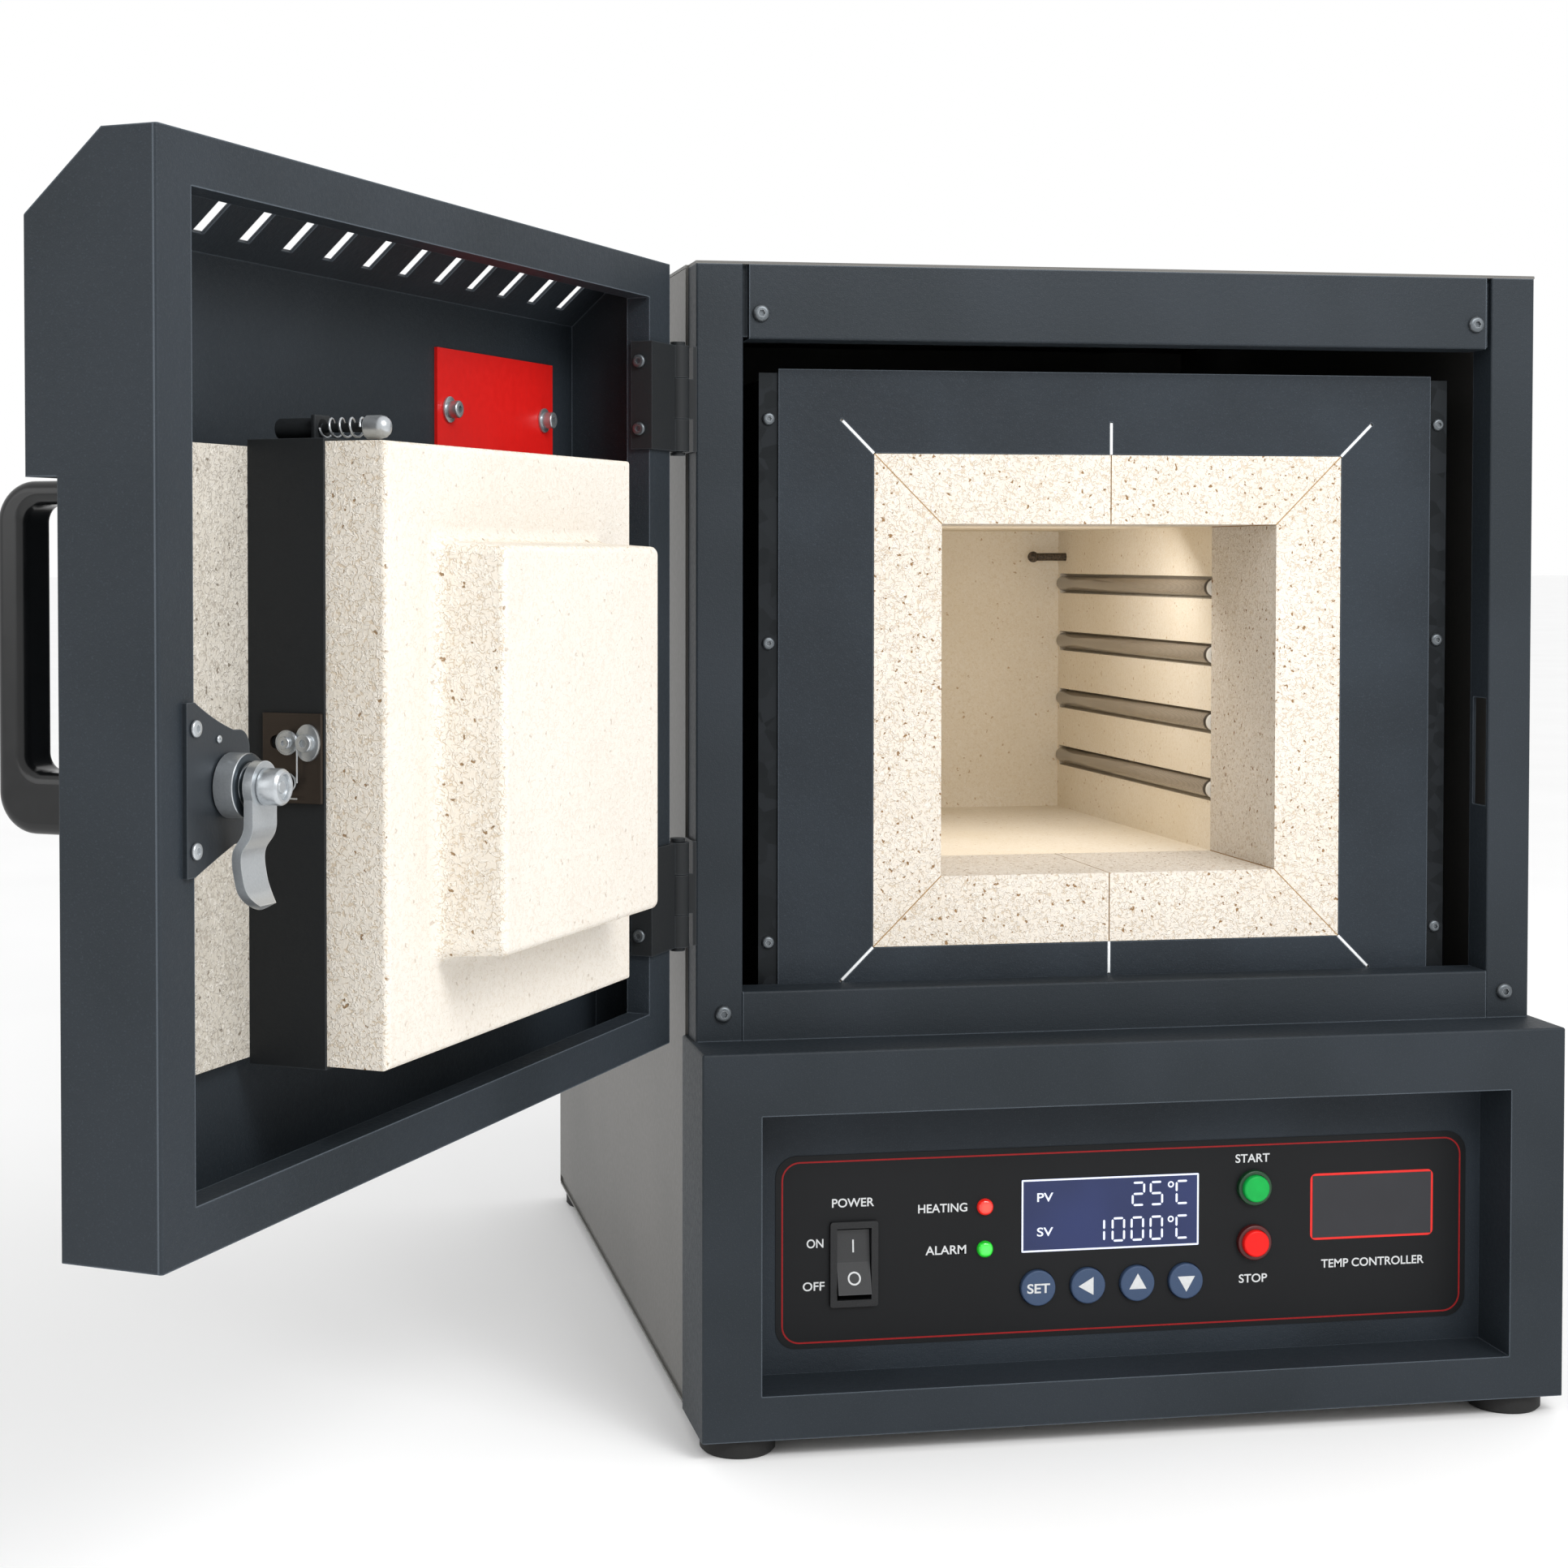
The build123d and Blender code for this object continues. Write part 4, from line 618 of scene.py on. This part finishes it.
def word(text, x, z, width, height=WORD_HEIGHT, y=FILM_FACE, bold=0.012):
    """Raised lettering that faces the front, its middle at x from the casing's left and z over the bench."""
    bpy.ops.object.select_all(action="DESELECT")
    bpy.ops.object.text_add()
    written = bpy.context.object
    written.data.body = text
    written.data.extrude = TEXT_EXTRUDE
    written.data.offset = bold
    bpy.ops.object.convert(target="MESH")
    written = bpy.context.object
    xs = [v.co.x for v in written.data.vertices]
    ys = [v.co.y for v in written.data.vertices]
    middle = Vector(((min(xs) + max(xs)) / 2, (min(ys) + max(ys)) / 2, 0))
    size = (width / (max(xs) - min(xs)), height / (max(ys) - min(ys)), WORD_THICK / (2 * TEXT_EXTRUDE))
    upright = Matrix.Translation((LEFT + x, y - WORD_THICK / 2, z)) @ Matrix.Rotation(math.pi / 2, 4, "X")
    written.matrix_world = upright @ Matrix.Diagonal((*size, 1)) @ Matrix.Translation(-middle)
    return settle(written)


WORDS = (("POWER", 0.0813, 0.1182, 0.0220), ("ON", 0.0615, 0.0980, 0.0087), ("OFF", 0.0608, 0.0761, 0.0113),
         ("HEATING", 0.1285, 0.1134, 0.0260), ("ALARM", 0.1302, 0.0917, 0.0215),
         ("START", 0.2958, 0.1328, 0.0188), ("STOP", 0.2964, 0.0696, 0.0155),
         ("TEMP CONTROLLER", 0.3629, 0.0755, 0.0575))
fit(joined([word(*entry) for entry in WORDS]), "panel_words", "furnace", "panel_film", white_ink)

# Display: a blue backlit liquid crystal window with a white border line and pale segments. It shows the
# present and the set temperature, 25 and 1000 degrees.
lcd_blue = Finish("lcd_blue")
PIXELS = 9000.0
glow = lcd_blue.cloud(18, 2.0)
grid = ((lcd_blue.along("X") * PIXELS).sine() * (lcd_blue.along("Z") * PIXELS).sine()).between(-1.0, 1.0)
lcd = lcd_blue.mixed(glow.between(0.3, 0.7), tone("#1d2648"), tone("#232d56"))
colour = lcd_blue.mixed(grid * 0.15, lcd, tone("#2f3b6a"))
lcd_blue.shade(colour, 0.2 + 0.05 * grid, specular_ior_level=0.3, emission_color=lcd, emission_strength=0.15)
paint(lcd_blue, "display_window")
lcd_white = Finish("lcd_white")
soft = lcd_white.cloud(900, 1.0)
pale = lcd_white.mixed(soft, tone("#c4cbe2"), tone("#dfe4f2"))
lcd_white.shade(pale, 0.4 + 0.1 * soft, specular_ior_level=0.2, emission_color=pale, emission_strength=0.25)
LCD_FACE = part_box("display_window")[0].y
printed_border(0.1704, 0.2662, 0.0886, 0.1262, 0.0006, 0.0009, LCD_FACE, "display_border", lcd_white)
SEGMENT = 0.0011
RAISED = 0.0001
LIT = {"0": "abcdef", "1": "bc", "2": "abged", "5": "afgcd", "C": "afed"}


def bar(length, x, z, upright):
    """One segment: a thin bar with pointed ends."""
    bpy.ops.object.select_all(action="DESELECT")
    bpy.ops.mesh.primitive_plane_add(size=1, location=(LEFT + x, LCD_FACE - RAISED, z),
                                     rotation=(math.pi / 2, math.pi / 2 if upright else 0, 0))
    made = bpy.context.object
    made.scale = (length, SEGMENT, 1)
    settle(made)
    bpy.ops.object.mode_set(mode="EDIT")
    bpy.ops.mesh.select_all(action="SELECT")
    bpy.ops.mesh.bevel(offset=SEGMENT * 0.42, segments=1, affect="VERTICES")
    thicken(RAISED)
    return made


def digit(sign, x, z, width, height):
    """The lit segments of a sign whose left lower corner is at x and z."""
    half = height / 2
    places = {"a": (width, x + width / 2, z + height, False), "d": (width, x + width / 2, z, False),
              "g": (width, x + width / 2, z + half, False), "f": (half, x, z + half * 1.5, True),
              "b": (half, x + width, z + half * 1.5, True), "e": (half, x, z + half / 2, True),
              "c": (half, x + width, z + half / 2, True)}
    return [bar(places[s][0] - SEGMENT * 0.9, *places[s][1:]) for s in LIT[sign]]


DIGIT_WIDTH, DIGIT_HEIGHT = 0.0062, 0.0116
UPPER_ROW, LOWER_ROW = 0.1108, 0.0927
signs = []
for sign, x, z in (("2", 0.2302, UPPER_ROW), ("5", 0.2400, UPPER_ROW), ("C", 0.2541, UPPER_ROW),
                   ("1", 0.2086, LOWER_ROW), ("0", 0.2194, LOWER_ROW), ("0", 0.2297, LOWER_ROW),
                   ("0", 0.2400, LOWER_ROW), ("C", 0.2541, LOWER_ROW)):
    signs += digit(sign, x, z, DIGIT_WIDTH, DIGIT_HEIGHT)
for z in (0.1208, 0.1027):
    degree_ring = ring(0.0013, 0.0004, (LEFT + 0.2510, LCD_FACE, z), ALONG_Y, 20, 0.25)
    signs.append(settle(degree_ring))
signs += [word(text, 0.1830, z, 0.0086, 0.0046, LCD_FACE) for text, z in (("PV", 0.1168), ("SV", 0.0989))]
fit(joined(signs), "display_signs", "furnace", "blue_display", lcd_white)

# Window of the temperature controller: smoked acrylic over a dark moulded case that is clipped into the
# panel. The window stays dark, and nothing is lit behind it.
smoked = Finish("smoked_window")
haze = smoked.cloud(40, 2.0)
smoked.shade(smoked.mixed(haze, tone("#1d1e22"), tone("#26272c")), 0.2 + 0.08 * haze, specular_ior_level=0.35)
paint(smoked, "controller_case")

# Keys: round caps moulded in blue-grey plastic, each on its own spring behind the film. Their signs are
# printed in white: the word SET and three arrows.
key_blue = Finish("key_blue")
grain = key_blue.cloud(2200, 1.0)
# The key edges are painted lighter, as highlights.
key_edge_highlight = key_blue.edges(0.0008)
colour = key_blue.mixed(grain, tone("#33445f"), tone("#3b4d69"))
colour = key_blue.mixed(key_edge_highlight * 0.5, colour, tone("#63789a"))
key_blue.shade(colour, 0.42 + 0.1 * grain, grain, 0.00005, 0.4, specular_ior_level=0.3)
KEYS = (("key_set", "set_key", None), ("key_shift", "shift_key", 90), ("key_up", "up_key", 0),
        ("key_down", "down_key", 180))
for node, body, turn in KEYS:
    paint(key_blue, node)
    low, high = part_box(node)
    x, z = (low.x + high.x) / 2, (low.z + high.z) / 2
    if turn is None:
        sign = word("SET", x - LEFT, z, 0.0122, 0.0050, low.y, bold=0.02)
    else:
        arrow = cylinder(0.0054, 0.0002, (x, low.y, z), (math.pi / 2, -math.radians(turn), 0), 3)
        sign = bevelled(settle(arrow), 0.00006, 1)
    fit(sign, node + "_sign", body, "blue_key", white_ink)

# Start and stop: domed green and red caps of glossy plastic, each pressed against a spring in a ring of dark
# plastic of its own colour. The caps are given a faint glow, as painted light.
for name, dark, light, node in (("start_green", "#0a8438", "#12a647", "start_button"),
                                ("stop_red", "#c01310", "#e01a16", "stop_button")):
    cap = Finish(name)
    swirl = cap.cloud(160, 2.0)
    cap.shade(cap.mixed(swirl, tone(dark), tone(light)), 0.32 + 0.1 * swirl, swirl, 0.00003, 0.3,
              specular_ior_level=0.2, emission_color=tone(light), emission_strength=0.2)
    paint(cap, node)
ring_plastic = Finish("ring_plastic")
grain = ring_plastic.cloud(1500, 2.0)
BETWEEN_BUTTONS = (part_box("start_button")[0].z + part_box("stop_button")[1].z) / 2
lower_one = ring_plastic.along("Z").under(BETWEEN_BUTTONS)
colour = ring_plastic.mixed(lower_one, tone("#0c3a1d"), tone("#4a1010"))
ring_plastic.shade(colour, 0.35 + 0.1 * grain, grain, 0.00005, 0.4)
paint(ring_plastic, "button_rings")

# Pilot lamps: red and green lenses of clear plastic, snapped into the panel over a small light each. They
# are brightest in the middle.
for name, dark, light, node in (("lens_red", "#c01812", "#ff3a26", "heating_lamp"),
                                ("lens_green", "#139a1d", "#3cff4a", "alarm_lamp")):
    lens = Finish(name)
    low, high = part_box(node)
    middle = (low + high) / 2
    offset = abs(lens.along("X") - middle.x).most(abs(lens.along("Z") - middle.z))
    heart = lens.mixed(offset.between(0.0005, 0.004), tone(light), tone(dark))
    lens.shade(heart, 0.12 + 0.1 * lens.cloud(200, 1.0), emission_color=heart, emission_strength=0.5,
               coat_weight=0.8, coat_roughness=0.05)
    paint(lens, node)

# Rocker switch: a black plastic paddle that tips on a pin in its bezel. A white bar and ring, filled into the
# paddle, show on and off.
rocker_black = Finish("rocker_black")
grain = rocker_black.cloud(1700, 2.0)
shine = rocker_black.edges(0.0008)
colour = rocker_black.mixed(grain, tone("#1b1c1d"), tone("#27282a"))
colour = rocker_black.mixed(shine * 0.5, colour, tone("#56595c"))
rocker_black.shade(colour, 0.3 + 0.15 * grain, grain, 0.00006, 0.4)
paint(rocker_black, "rocker_paddle")
PADDLE_LOW, PADDLE_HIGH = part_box("rocker_paddle")
ROCKER_X = (PADDLE_LOW.x + PADDLE_HIGH.x) / 2
ROCKER_Z = 0.087
UPPER_SLOPE, LOWER_SLOPE = math.radians(-4.1), math.radians(90 - 16)
on_place = Matrix.Translation((ROCKER_X, FILM_FACE + 0.0010, ROCKER_Z + 0.0087))
off_place = Matrix.Translation((ROCKER_X, FILM_FACE - 0.0018, ROCKER_Z - 0.0073))
on_bar = brick((-0.0004, -0.0001, -0.0032), (0.0004, 0.0001, 0.0032))
on_bar = settle(on_bar, on_place @ Matrix.Rotation(UPPER_SLOPE, 4, "X"))
off_ring = ring(0.0030, 0.00045, sides=36, flat=0.3)
off_ring = settle(off_ring, off_place @ Matrix.Rotation(LOWER_SLOPE, 4, "X"))
fit(joined([on_bar, off_ring]), "rocker_marks", "rocker", "black_plastic", white_ink)

# Door filling: a tray of black painted sheet steel, which holds the ceramic block with its plug. The block is
# cast in one piece, rougher on its sides than on its face; the face is painted greyer than the tan sides, as
# shade.
tray_black = Finish("tray_black")
grain = tray_black.cloud(900, 2.0)
# The tray's edges are painted lighter, as highlights.
tray_edge_highlight = tray_black.edges(0.0008)
colour = tray_black.mixed(grain, tone("#17191b"), tone("#1e2123"))
colour = tray_black.mixed(tray_edge_highlight * 0.4, colour, tone("#565b60"))
tray_black.shade(colour, 0.5 + 0.15 * grain, grain, 0.0001, 0.4, specular_ior_level=0.25)
paint(tray_black, "door_tray", "hinge_door_leaves", "hinge_body_leaves")
JOINTS = {joint["name"]: joint for joint in frame["joints"]}
HINGE = Vector(JOINTS["door_swing"]["pos_m"])
OPENED = math.radians(JOINTS["door_swing"]["range_deg"][1])
INWARDS = Vector((math.sin(OPENED), math.cos(OPENED), 0.0))
cast_fibre = Finish("cast_fibre")
skin, height = fibre_body(cast_fibre, ("#ddd5c8", "#eae4da", "#c9b8a0", "#987e60"), 0.16, 0.8)
flat_face = cast_fibre.dot(cast_fibre.node("NewGeometry").outputs["Normal"], INWARDS).between(0.5, 0.9)
face_skin_shaded = cast_fibre.mixed(cast_fibre.cloud(30, 3.0), tone("#cac4bc"), tone("#d4cfc8"))
colour = cast_fibre.mixed(flat_face * 0.65, skin, face_skin_shaded)
cast_fibre.shade(colour, 0.93, height * (1 - 0.6 * flat_face), 0.0004, 0.8, specular_ior_level=0.1)
paint(cast_fibre, "door_block")

# Red plate on the inner back of the door, over the block: sheet steel in glossy red enamel, held by two
# bolts with washers. It bears no words.
red_enamel = Finish("red_enamel")
peel = red_enamel.cloud(300, 2.0)
colour = red_enamel.mixed(peel, tone("#b81512"), tone("#c91a17"))
# The enamel is given a faint red glow, as painted light.
red_enamel.shade(colour, 0.28 + 0.1 * peel, peel, 0.0001, 0.4, emission_color=tone("#c01512"),
                 emission_strength=0.12, specular_ior_level=0.3)
paint(red_enamel, "red_plate")

# Handle: a bow moulded in glossy black plastic, screwed to the door's free side from inside. Its surface
# shows the faint flow marks of the mould.
handle_black = Finish("handle_black")
flow = handle_black.cloud(120, 2.0)
colour = handle_black.mixed(flow, tone("#0c0d0e"), tone("#151617"))
handle_black.shade(colour, 0.18 + 0.12 * flow, flow, 0.00006, 0.4, specular_ior_level=0.4)
paint(handle_black, "door_handle")

# Screws of the door: dark domed heads on the hinge leaves, small bright ones on the latch bracket, and bright
# socket heads on washers in the red plate.
OPEN_DOOR = Matrix.Translation(HINGE) @ Matrix.Rotation(-OPENED, 4, "Z") @ Matrix.Translation(-HINGE)
RIM = 0.008
LATCH = OPEN_DOOR.inverted() @ Vector(JOINTS["latch_turn"]["pos_m"])
TO_FREE_SIDE = Matrix.Rotation(math.pi / 2, 4, "Y")
TO_INSIDE = Matrix.Rotation(-math.pi / 2, 4, "X")
bright_steel = Finish("bright_steel")
brush = bright_steel.cloud(1400, 3.0)
glint = bright_steel.edges(0.0008, 0.03, 0.3)
colour = bright_steel.mixed(brush, tone("#a8adb1"), tone("#bec2c5"))
colour = bright_steel.mixed(glint * 0.8, colour, tone("#e3e6e8"))
bright_steel.shade(colour, 0.24 + 0.14 * brush, brush, 0.00005, 0.4, metallic=0.8)
dark_steel = Finish("dark_steel")
brush = dark_steel.cloud(800, 3.0)
glint = dark_steel.edges(0.0008, 0.03, 0.3)
colour = dark_steel.mixed(brush, tone("#24292e"), tone("#30363c"))
colour = dark_steel.mixed(glint * 0.5, colour, tone("#6d757c"))
dark_steel.shade(colour, 0.36 + 0.16 * brush, brush, 0.0001, 0.4, metallic=0.4)
paint(dark_steel, "latch_bracket")
SOCKET_SHARE, WASHER_THICK = 0.48, 0.0012


def cut_out(piece, tool):
    """Takes a tool's volume out of a piece."""
    take(piece)
    cut = piece.modifiers.new("cut", "BOOLEAN")
    cut.object = tool
    cut.solver = "EXACT"
    bpy.ops.object.modifier_apply(modifier=cut.name)
    bpy.data.objects.remove(tool)
    return piece


def bolt(radius, height, dome, spot, turn, washer=0.0):
    """A head with a six-sided socket and perhaps a washer, on a seat of the closed door."""
    head = bevelled(settle(cylinder(radius, height, (0, 0, height / 2), ALONG_Z)), dome, 4)
    parts = [cut_out(head, cylinder(radius * SOCKET_SHARE, height, (0, 0, height), ALONG_Z, 6))]
    if washer:
        under_head = cylinder(washer, WASHER_THICK, (0, 0, WASHER_THICK / 2), ALONG_Z)
        parts.append(bevelled(settle(under_head), 0.0003))
    return settle(joined(parts), OPEN_DOOR @ Matrix.Translation(spot) @ turn)


HINGE_HEIGHTS, LEAF_SCREW_STEP = (0.278, 0.5255), 0.0164
leaf_screws = [bolt(0.0033, 0.0022, 0.0016, (0.007, RIM - 0.0045, z + side * LEAF_SCREW_STEP), TO_FREE_SIDE)
               for z in HINGE_HEIGHTS for side in (-1, 1)]
fit(done(joined(leaf_screws)), "hinge_leaf_screws", "door", "dark_steel", screw_steel, "door_screws")
BRACKET_FACE, BRACKET_SCREW_STEP = RIM + 0.002, 0.021
bracket_screws = [bolt(0.003, 0.0014, 0.0006, (0.4155, BRACKET_FACE, LATCH.z + side * BRACKET_SCREW_STEP),
                       TO_INSIDE) for side in (-1, 1)]
bracket_screws.append(bolt(0.0014, 0.0008, 0.0005, (0.4005, BRACKET_FACE, LATCH.z + 0.0165), TO_INSIDE))
fit(done(joined(bracket_screws)), "bracket_screws", "door", "dark_steel", bright_steel, "door_screws")
RED_MIDDLE, RED_BOLT_STEP = Vector((0.069, RIM - 0.051, 0.5135)), Vector((0.051, 0, 0))
red_bolts = [bolt(0.0040, 0.0060, 0.0008, RED_MIDDLE + side * RED_BOLT_STEP, TO_INSIDE, 0.006)
             for side in (-1, 1)]
fit(done(joined(red_bolts)), "red_plate_bolts", "door", "bright_steel", bright_steel, "door_screws")

# Latch spindle: a satin steel shaft through the door, turned in one piece with a wide hub, a neck that is
# painted dark as the shade between the hub and the lever, and a cap with a ringed recess. The lever sits
# between the neck and the cap.


def disc(radius, spot, sides):
    """A flat round face across Y."""
    bpy.ops.object.select_all(action="DESELECT")
    bpy.ops.mesh.primitive_circle_add(vertices=sides, radius=radius, fill_type="NGON", location=spot,
                                      rotation=ALONG_Y)
    return settle(bpy.context.object)


def turned(profile, axis):
    """A lathe-turned piece along +Y of the closed door, from steps of depth and radius."""
    piece = disc(profile[0][1], (axis.x, profile[0][0], axis.z), 56)
    bpy.ops.object.mode_set(mode="EDIT")
    bpy.ops.mesh.select_mode(type="FACE")
    bpy.ops.mesh.select_all(action="SELECT")
    for (y0, r0), (y1, r1) in zip(profile, profile[1:]):
        bpy.ops.mesh.extrude_region_move(TRANSFORM_OT_translate={"value": (0, y1 - y0, 0)})
        bpy.ops.transform.resize(value=(r1 / r0, 1, r1 / r0), center_override=(axis.x, y1, axis.z))
    bpy.ops.mesh.select_all(action="SELECT")
    bpy.ops.mesh.normals_make_consistent(inside=False)
    return settle(done(piece, 30), OPEN_DOOR)


HUB = RIM + 0.0023
SPINDLE = ((-0.0345, 0.0035), (-0.0330, 0.0035), (-0.0330, 0.0050), (HUB, 0.0050), (HUB, 0.0110),
           (HUB + 0.0005, 0.0115), (HUB + 0.0078, 0.0115), (HUB + 0.0084, 0.0111), (HUB + 0.0087, 0.0104),
           (HUB + 0.0087, 0.0084), (HUB + 0.0080, 0.0082), (HUB + 0.0080, 0.0070), (HUB + 0.0107, 0.0070),
           (HUB + 0.0107, 0.0049), (HUB + 0.0143, 0.0049), (HUB + 0.0143, 0.0060), (HUB + 0.0147, 0.0065),
           (HUB + 0.0210, 0.0065), (HUB + 0.0216, 0.0062), (HUB + 0.0223, 0.0054), (HUB + 0.0223, 0.0046),
           (HUB + 0.0217, 0.0043), (HUB + 0.0209, 0.0041), (HUB + 0.0209, 0.0024), (HUB + 0.0214, 0.0021),
           (HUB + 0.0214, 0.0004))
hub_steel = Finish("hub_steel")
brush = hub_steel.cloud(1300, 3.0)
depth = hub_steel.dot(hub_steel.place, INWARDS) - (HINGE.dot(INWARDS) - HINGE.y)
neck_shade = depth.between(HUB + 0.0080, HUB + 0.0082) * (1 - depth.between(HUB + 0.0106, HUB + 0.0107))
glint = hub_steel.edges(0.0008, 0.03, 0.3)
satin = hub_steel.mixed(brush, tone("#a6abaf"), tone("#bdc1c4"))
satin = hub_steel.mixed(glint * 0.8, satin, tone("#e3e6e8"))
colour = hub_steel.mixed(neck_shade, satin, tone("#3d444a"))
hub_steel.shade(colour, 0.24 + 0.14 * brush, brush, 0.00005, 0.4, metallic=0.8)
fit(turned(SPINDLE, LATCH), "latch_hub_and_shaft", "latch", "bright_steel", hub_steel, "latch_spindle")

# Latch lever: thick steel strip, cut out, bent to its wave and ground on its edges, with a satin chrome
# finish. It is fixed on the spindle and turns with it.
paint(bright_steel, "latch_lever")

# Detent on the tray's side: a plate of brownish steel with a drilled hole. It carries an oval cam under its
# bolt, a roller and, held by a thin wire spring, a black ball on its seat.
brown_steel = Finish("brown_steel")
brush = brown_steel.cloud(500, 4.0)
tint = brown_steel.cloud(25, 2.0)
colour = brown_steel.mixed(tint, tone("#332d29"), tone("#4a423b"))
brown_steel.shade(colour, 0.3 + 0.2 * brush, brush, 0.00008, 0.4, metallic=0.75)
PLATE_X = 0.3232
PLATE_THICK = 0.0015
BOLT_ROW, BALL_HEIGHT, WIRE_END = LATCH.z + 0.010, LATCH.z - 0.005, LATCH.z - 0.011
HOLE_Y, ROLLER_Y, CAM_Y = RIM - 0.020, RIM - 0.014, RIM - 0.006
plate = bevelled(brick((PLATE_X, RIM - 0.026, LATCH.z - 0.013),
                       (PLATE_X + PLATE_THICK, RIM - 0.0005, LATCH.z + 0.021)), 0.0004)
plate = cut_out(plate, settle(cylinder(0.0026, 0.006, (PLATE_X, HOLE_Y, BOLT_ROW), ALONG_X)))
fit(settle(plate, OPEN_DOOR), "detent_plate", "door", "brown_steel", brown_steel, "link_plate")
CAM_OVAL = 1.35
cam = cylinder(0.0052, 0.0016, (PLATE_X + 0.0023, CAM_Y, BOLT_ROW), ALONG_X, 48)
cam.scale = (CAM_OVAL, 1.0, 1.0)
cam = bevelled(settle(cam), 0.0004)
roller = settle(cylinder(0.0042, 0.0030, (PLATE_X + 0.0030, ROLLER_Y, BOLT_ROW), ALONG_X, 40))
roller = bevelled(roller, 0.0006)
WIRE, WIRE_X = 0.00035, PLATE_X + 0.0040
wires = [ring(0.0044, WIRE, (WIRE_X, ROLLER_Y, BOLT_ROW), ALONG_X),
         ring(0.0036, WIRE, (WIRE_X, ROLLER_Y, BALL_HEIGHT), ALONG_X),
         cylinder(WIRE, 0.008, (WIRE_X, RIM - 0.0136, WIRE_END), ALONG_Y, 10)]
for y, low, high in ((RIM - 0.0096, BALL_HEIGHT, BOLT_ROW), (RIM - 0.0176, WIRE_END, BALL_HEIGHT)):
    wires.append(cylinder(WIRE, high - low, (WIRE_X, y, (low + high) / 2), ALONG_Z, 10))
parts = [settle(piece, OPEN_DOOR) for piece in (cam, roller, *wires)]
parts.append(bolt(0.0034, 0.0030, 0.0006, (PLATE_X + 0.0031, CAM_Y, BOLT_ROW), TO_FREE_SIDE))
parts.append(bolt(0.0024, 0.0020, 0.0005, (PLATE_X + 0.0045, ROLLER_Y, BOLT_ROW), TO_FREE_SIDE))
fit(done(joined(parts)), "detent_cam_and_roller", "door", "bright_steel", bright_steel, "link_plate")
bpy.ops.object.select_all(action="DESELECT")
bpy.ops.mesh.primitive_uv_sphere_add(segments=28, ring_count=18, radius=0.0028,
                                     location=(PLATE_X + 0.0030, ROLLER_Y, BALL_HEIGHT))
ball = settle(bpy.context.object)
seat = bevelled(settle(cylinder(0.0033, 0.0012, (PLATE_X + 0.0019, ROLLER_Y, BALL_HEIGHT), ALONG_X)), 0.0004)
ball = done(settle(joined([ball, seat]), OPEN_DOOR), 60)
fit(ball, "detent_ball", "door", "brown_steel", handle_black, "link_plate")

# Sprung stud on top of the tray: a black sleeve in a lug, a coil spring of steel wire and a bright dome nut.
# On the real door such a spring presses the filling against the collar.
STUD = Vector((0.306, 0, 0.4957))
sleeve = turned(((RIM - 0.029, 0.0037), (RIM - 0.0285, 0.0040), (RIM - 0.0105, 0.0040),
                 (RIM - 0.0100, 0.0037), (RIM - 0.0100, 0.0018), (RIM + 0.0100, 0.0018)), STUD)
lug = bevelled(brick((STUD.x - 0.006, RIM - 0.012, 0.4912), (STUD.x + 0.006, RIM - 0.010, 0.5007)), 0.0006)
lug = settle(lug, OPEN_DOOR)
fit(done(joined([sleeve, lug])), "stud_sleeve", "door", "black_steel", tray_black, "tray_stud")
nut = turned(((RIM + 0.009, 0.0041), (RIM + 0.0095, 0.0045), (RIM + 0.0150, 0.0045), (RIM + 0.0168, 0.0041),
              (RIM + 0.0181, 0.0031), (RIM + 0.0188, 0.0018), (RIM + 0.0190, 0.0004)), STUD)
COIL_RADIUS, COIL_WIRE, COIL_PITCH, COIL_TURNS, TURN_STEPS = 0.0036, 0.0005, 0.0044, 4, 28
coil = disc(COIL_WIRE, (COIL_RADIUS, 0, 0), 10)
winding = coil.modifiers.new("winding", "SCREW")
winding.axis, winding.angle, winding.screw_offset = "Z", 2 * math.pi, COIL_PITCH
winding.iterations, winding.steps, winding.render_steps = COIL_TURNS, TURN_STEPS, TURN_STEPS
take(coil)
bpy.ops.object.modifier_apply(modifier=winding.name)
bpy.ops.object.mode_set(mode="EDIT")
bpy.ops.mesh.select_all(action="SELECT")
bpy.ops.mesh.remove_doubles(threshold=0.00001)
bpy.ops.mesh.fill_holes(sides=0)
bpy.ops.mesh.select_all(action="SELECT")
bpy.ops.mesh.normals_make_consistent(inside=False)
coil = settle(done(coil), OPEN_DOOR @ Matrix.Translation((STUD.x, RIM - 0.0095, STUD.z)) @ TO_INSIDE)
fit(done(joined([nut, coil])), "stud_spring_and_nut", "door", "bright_steel", bright_steel, "tray_stud")

# The size of the dressed model.
bpy.context.view_layer.update()
low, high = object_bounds()
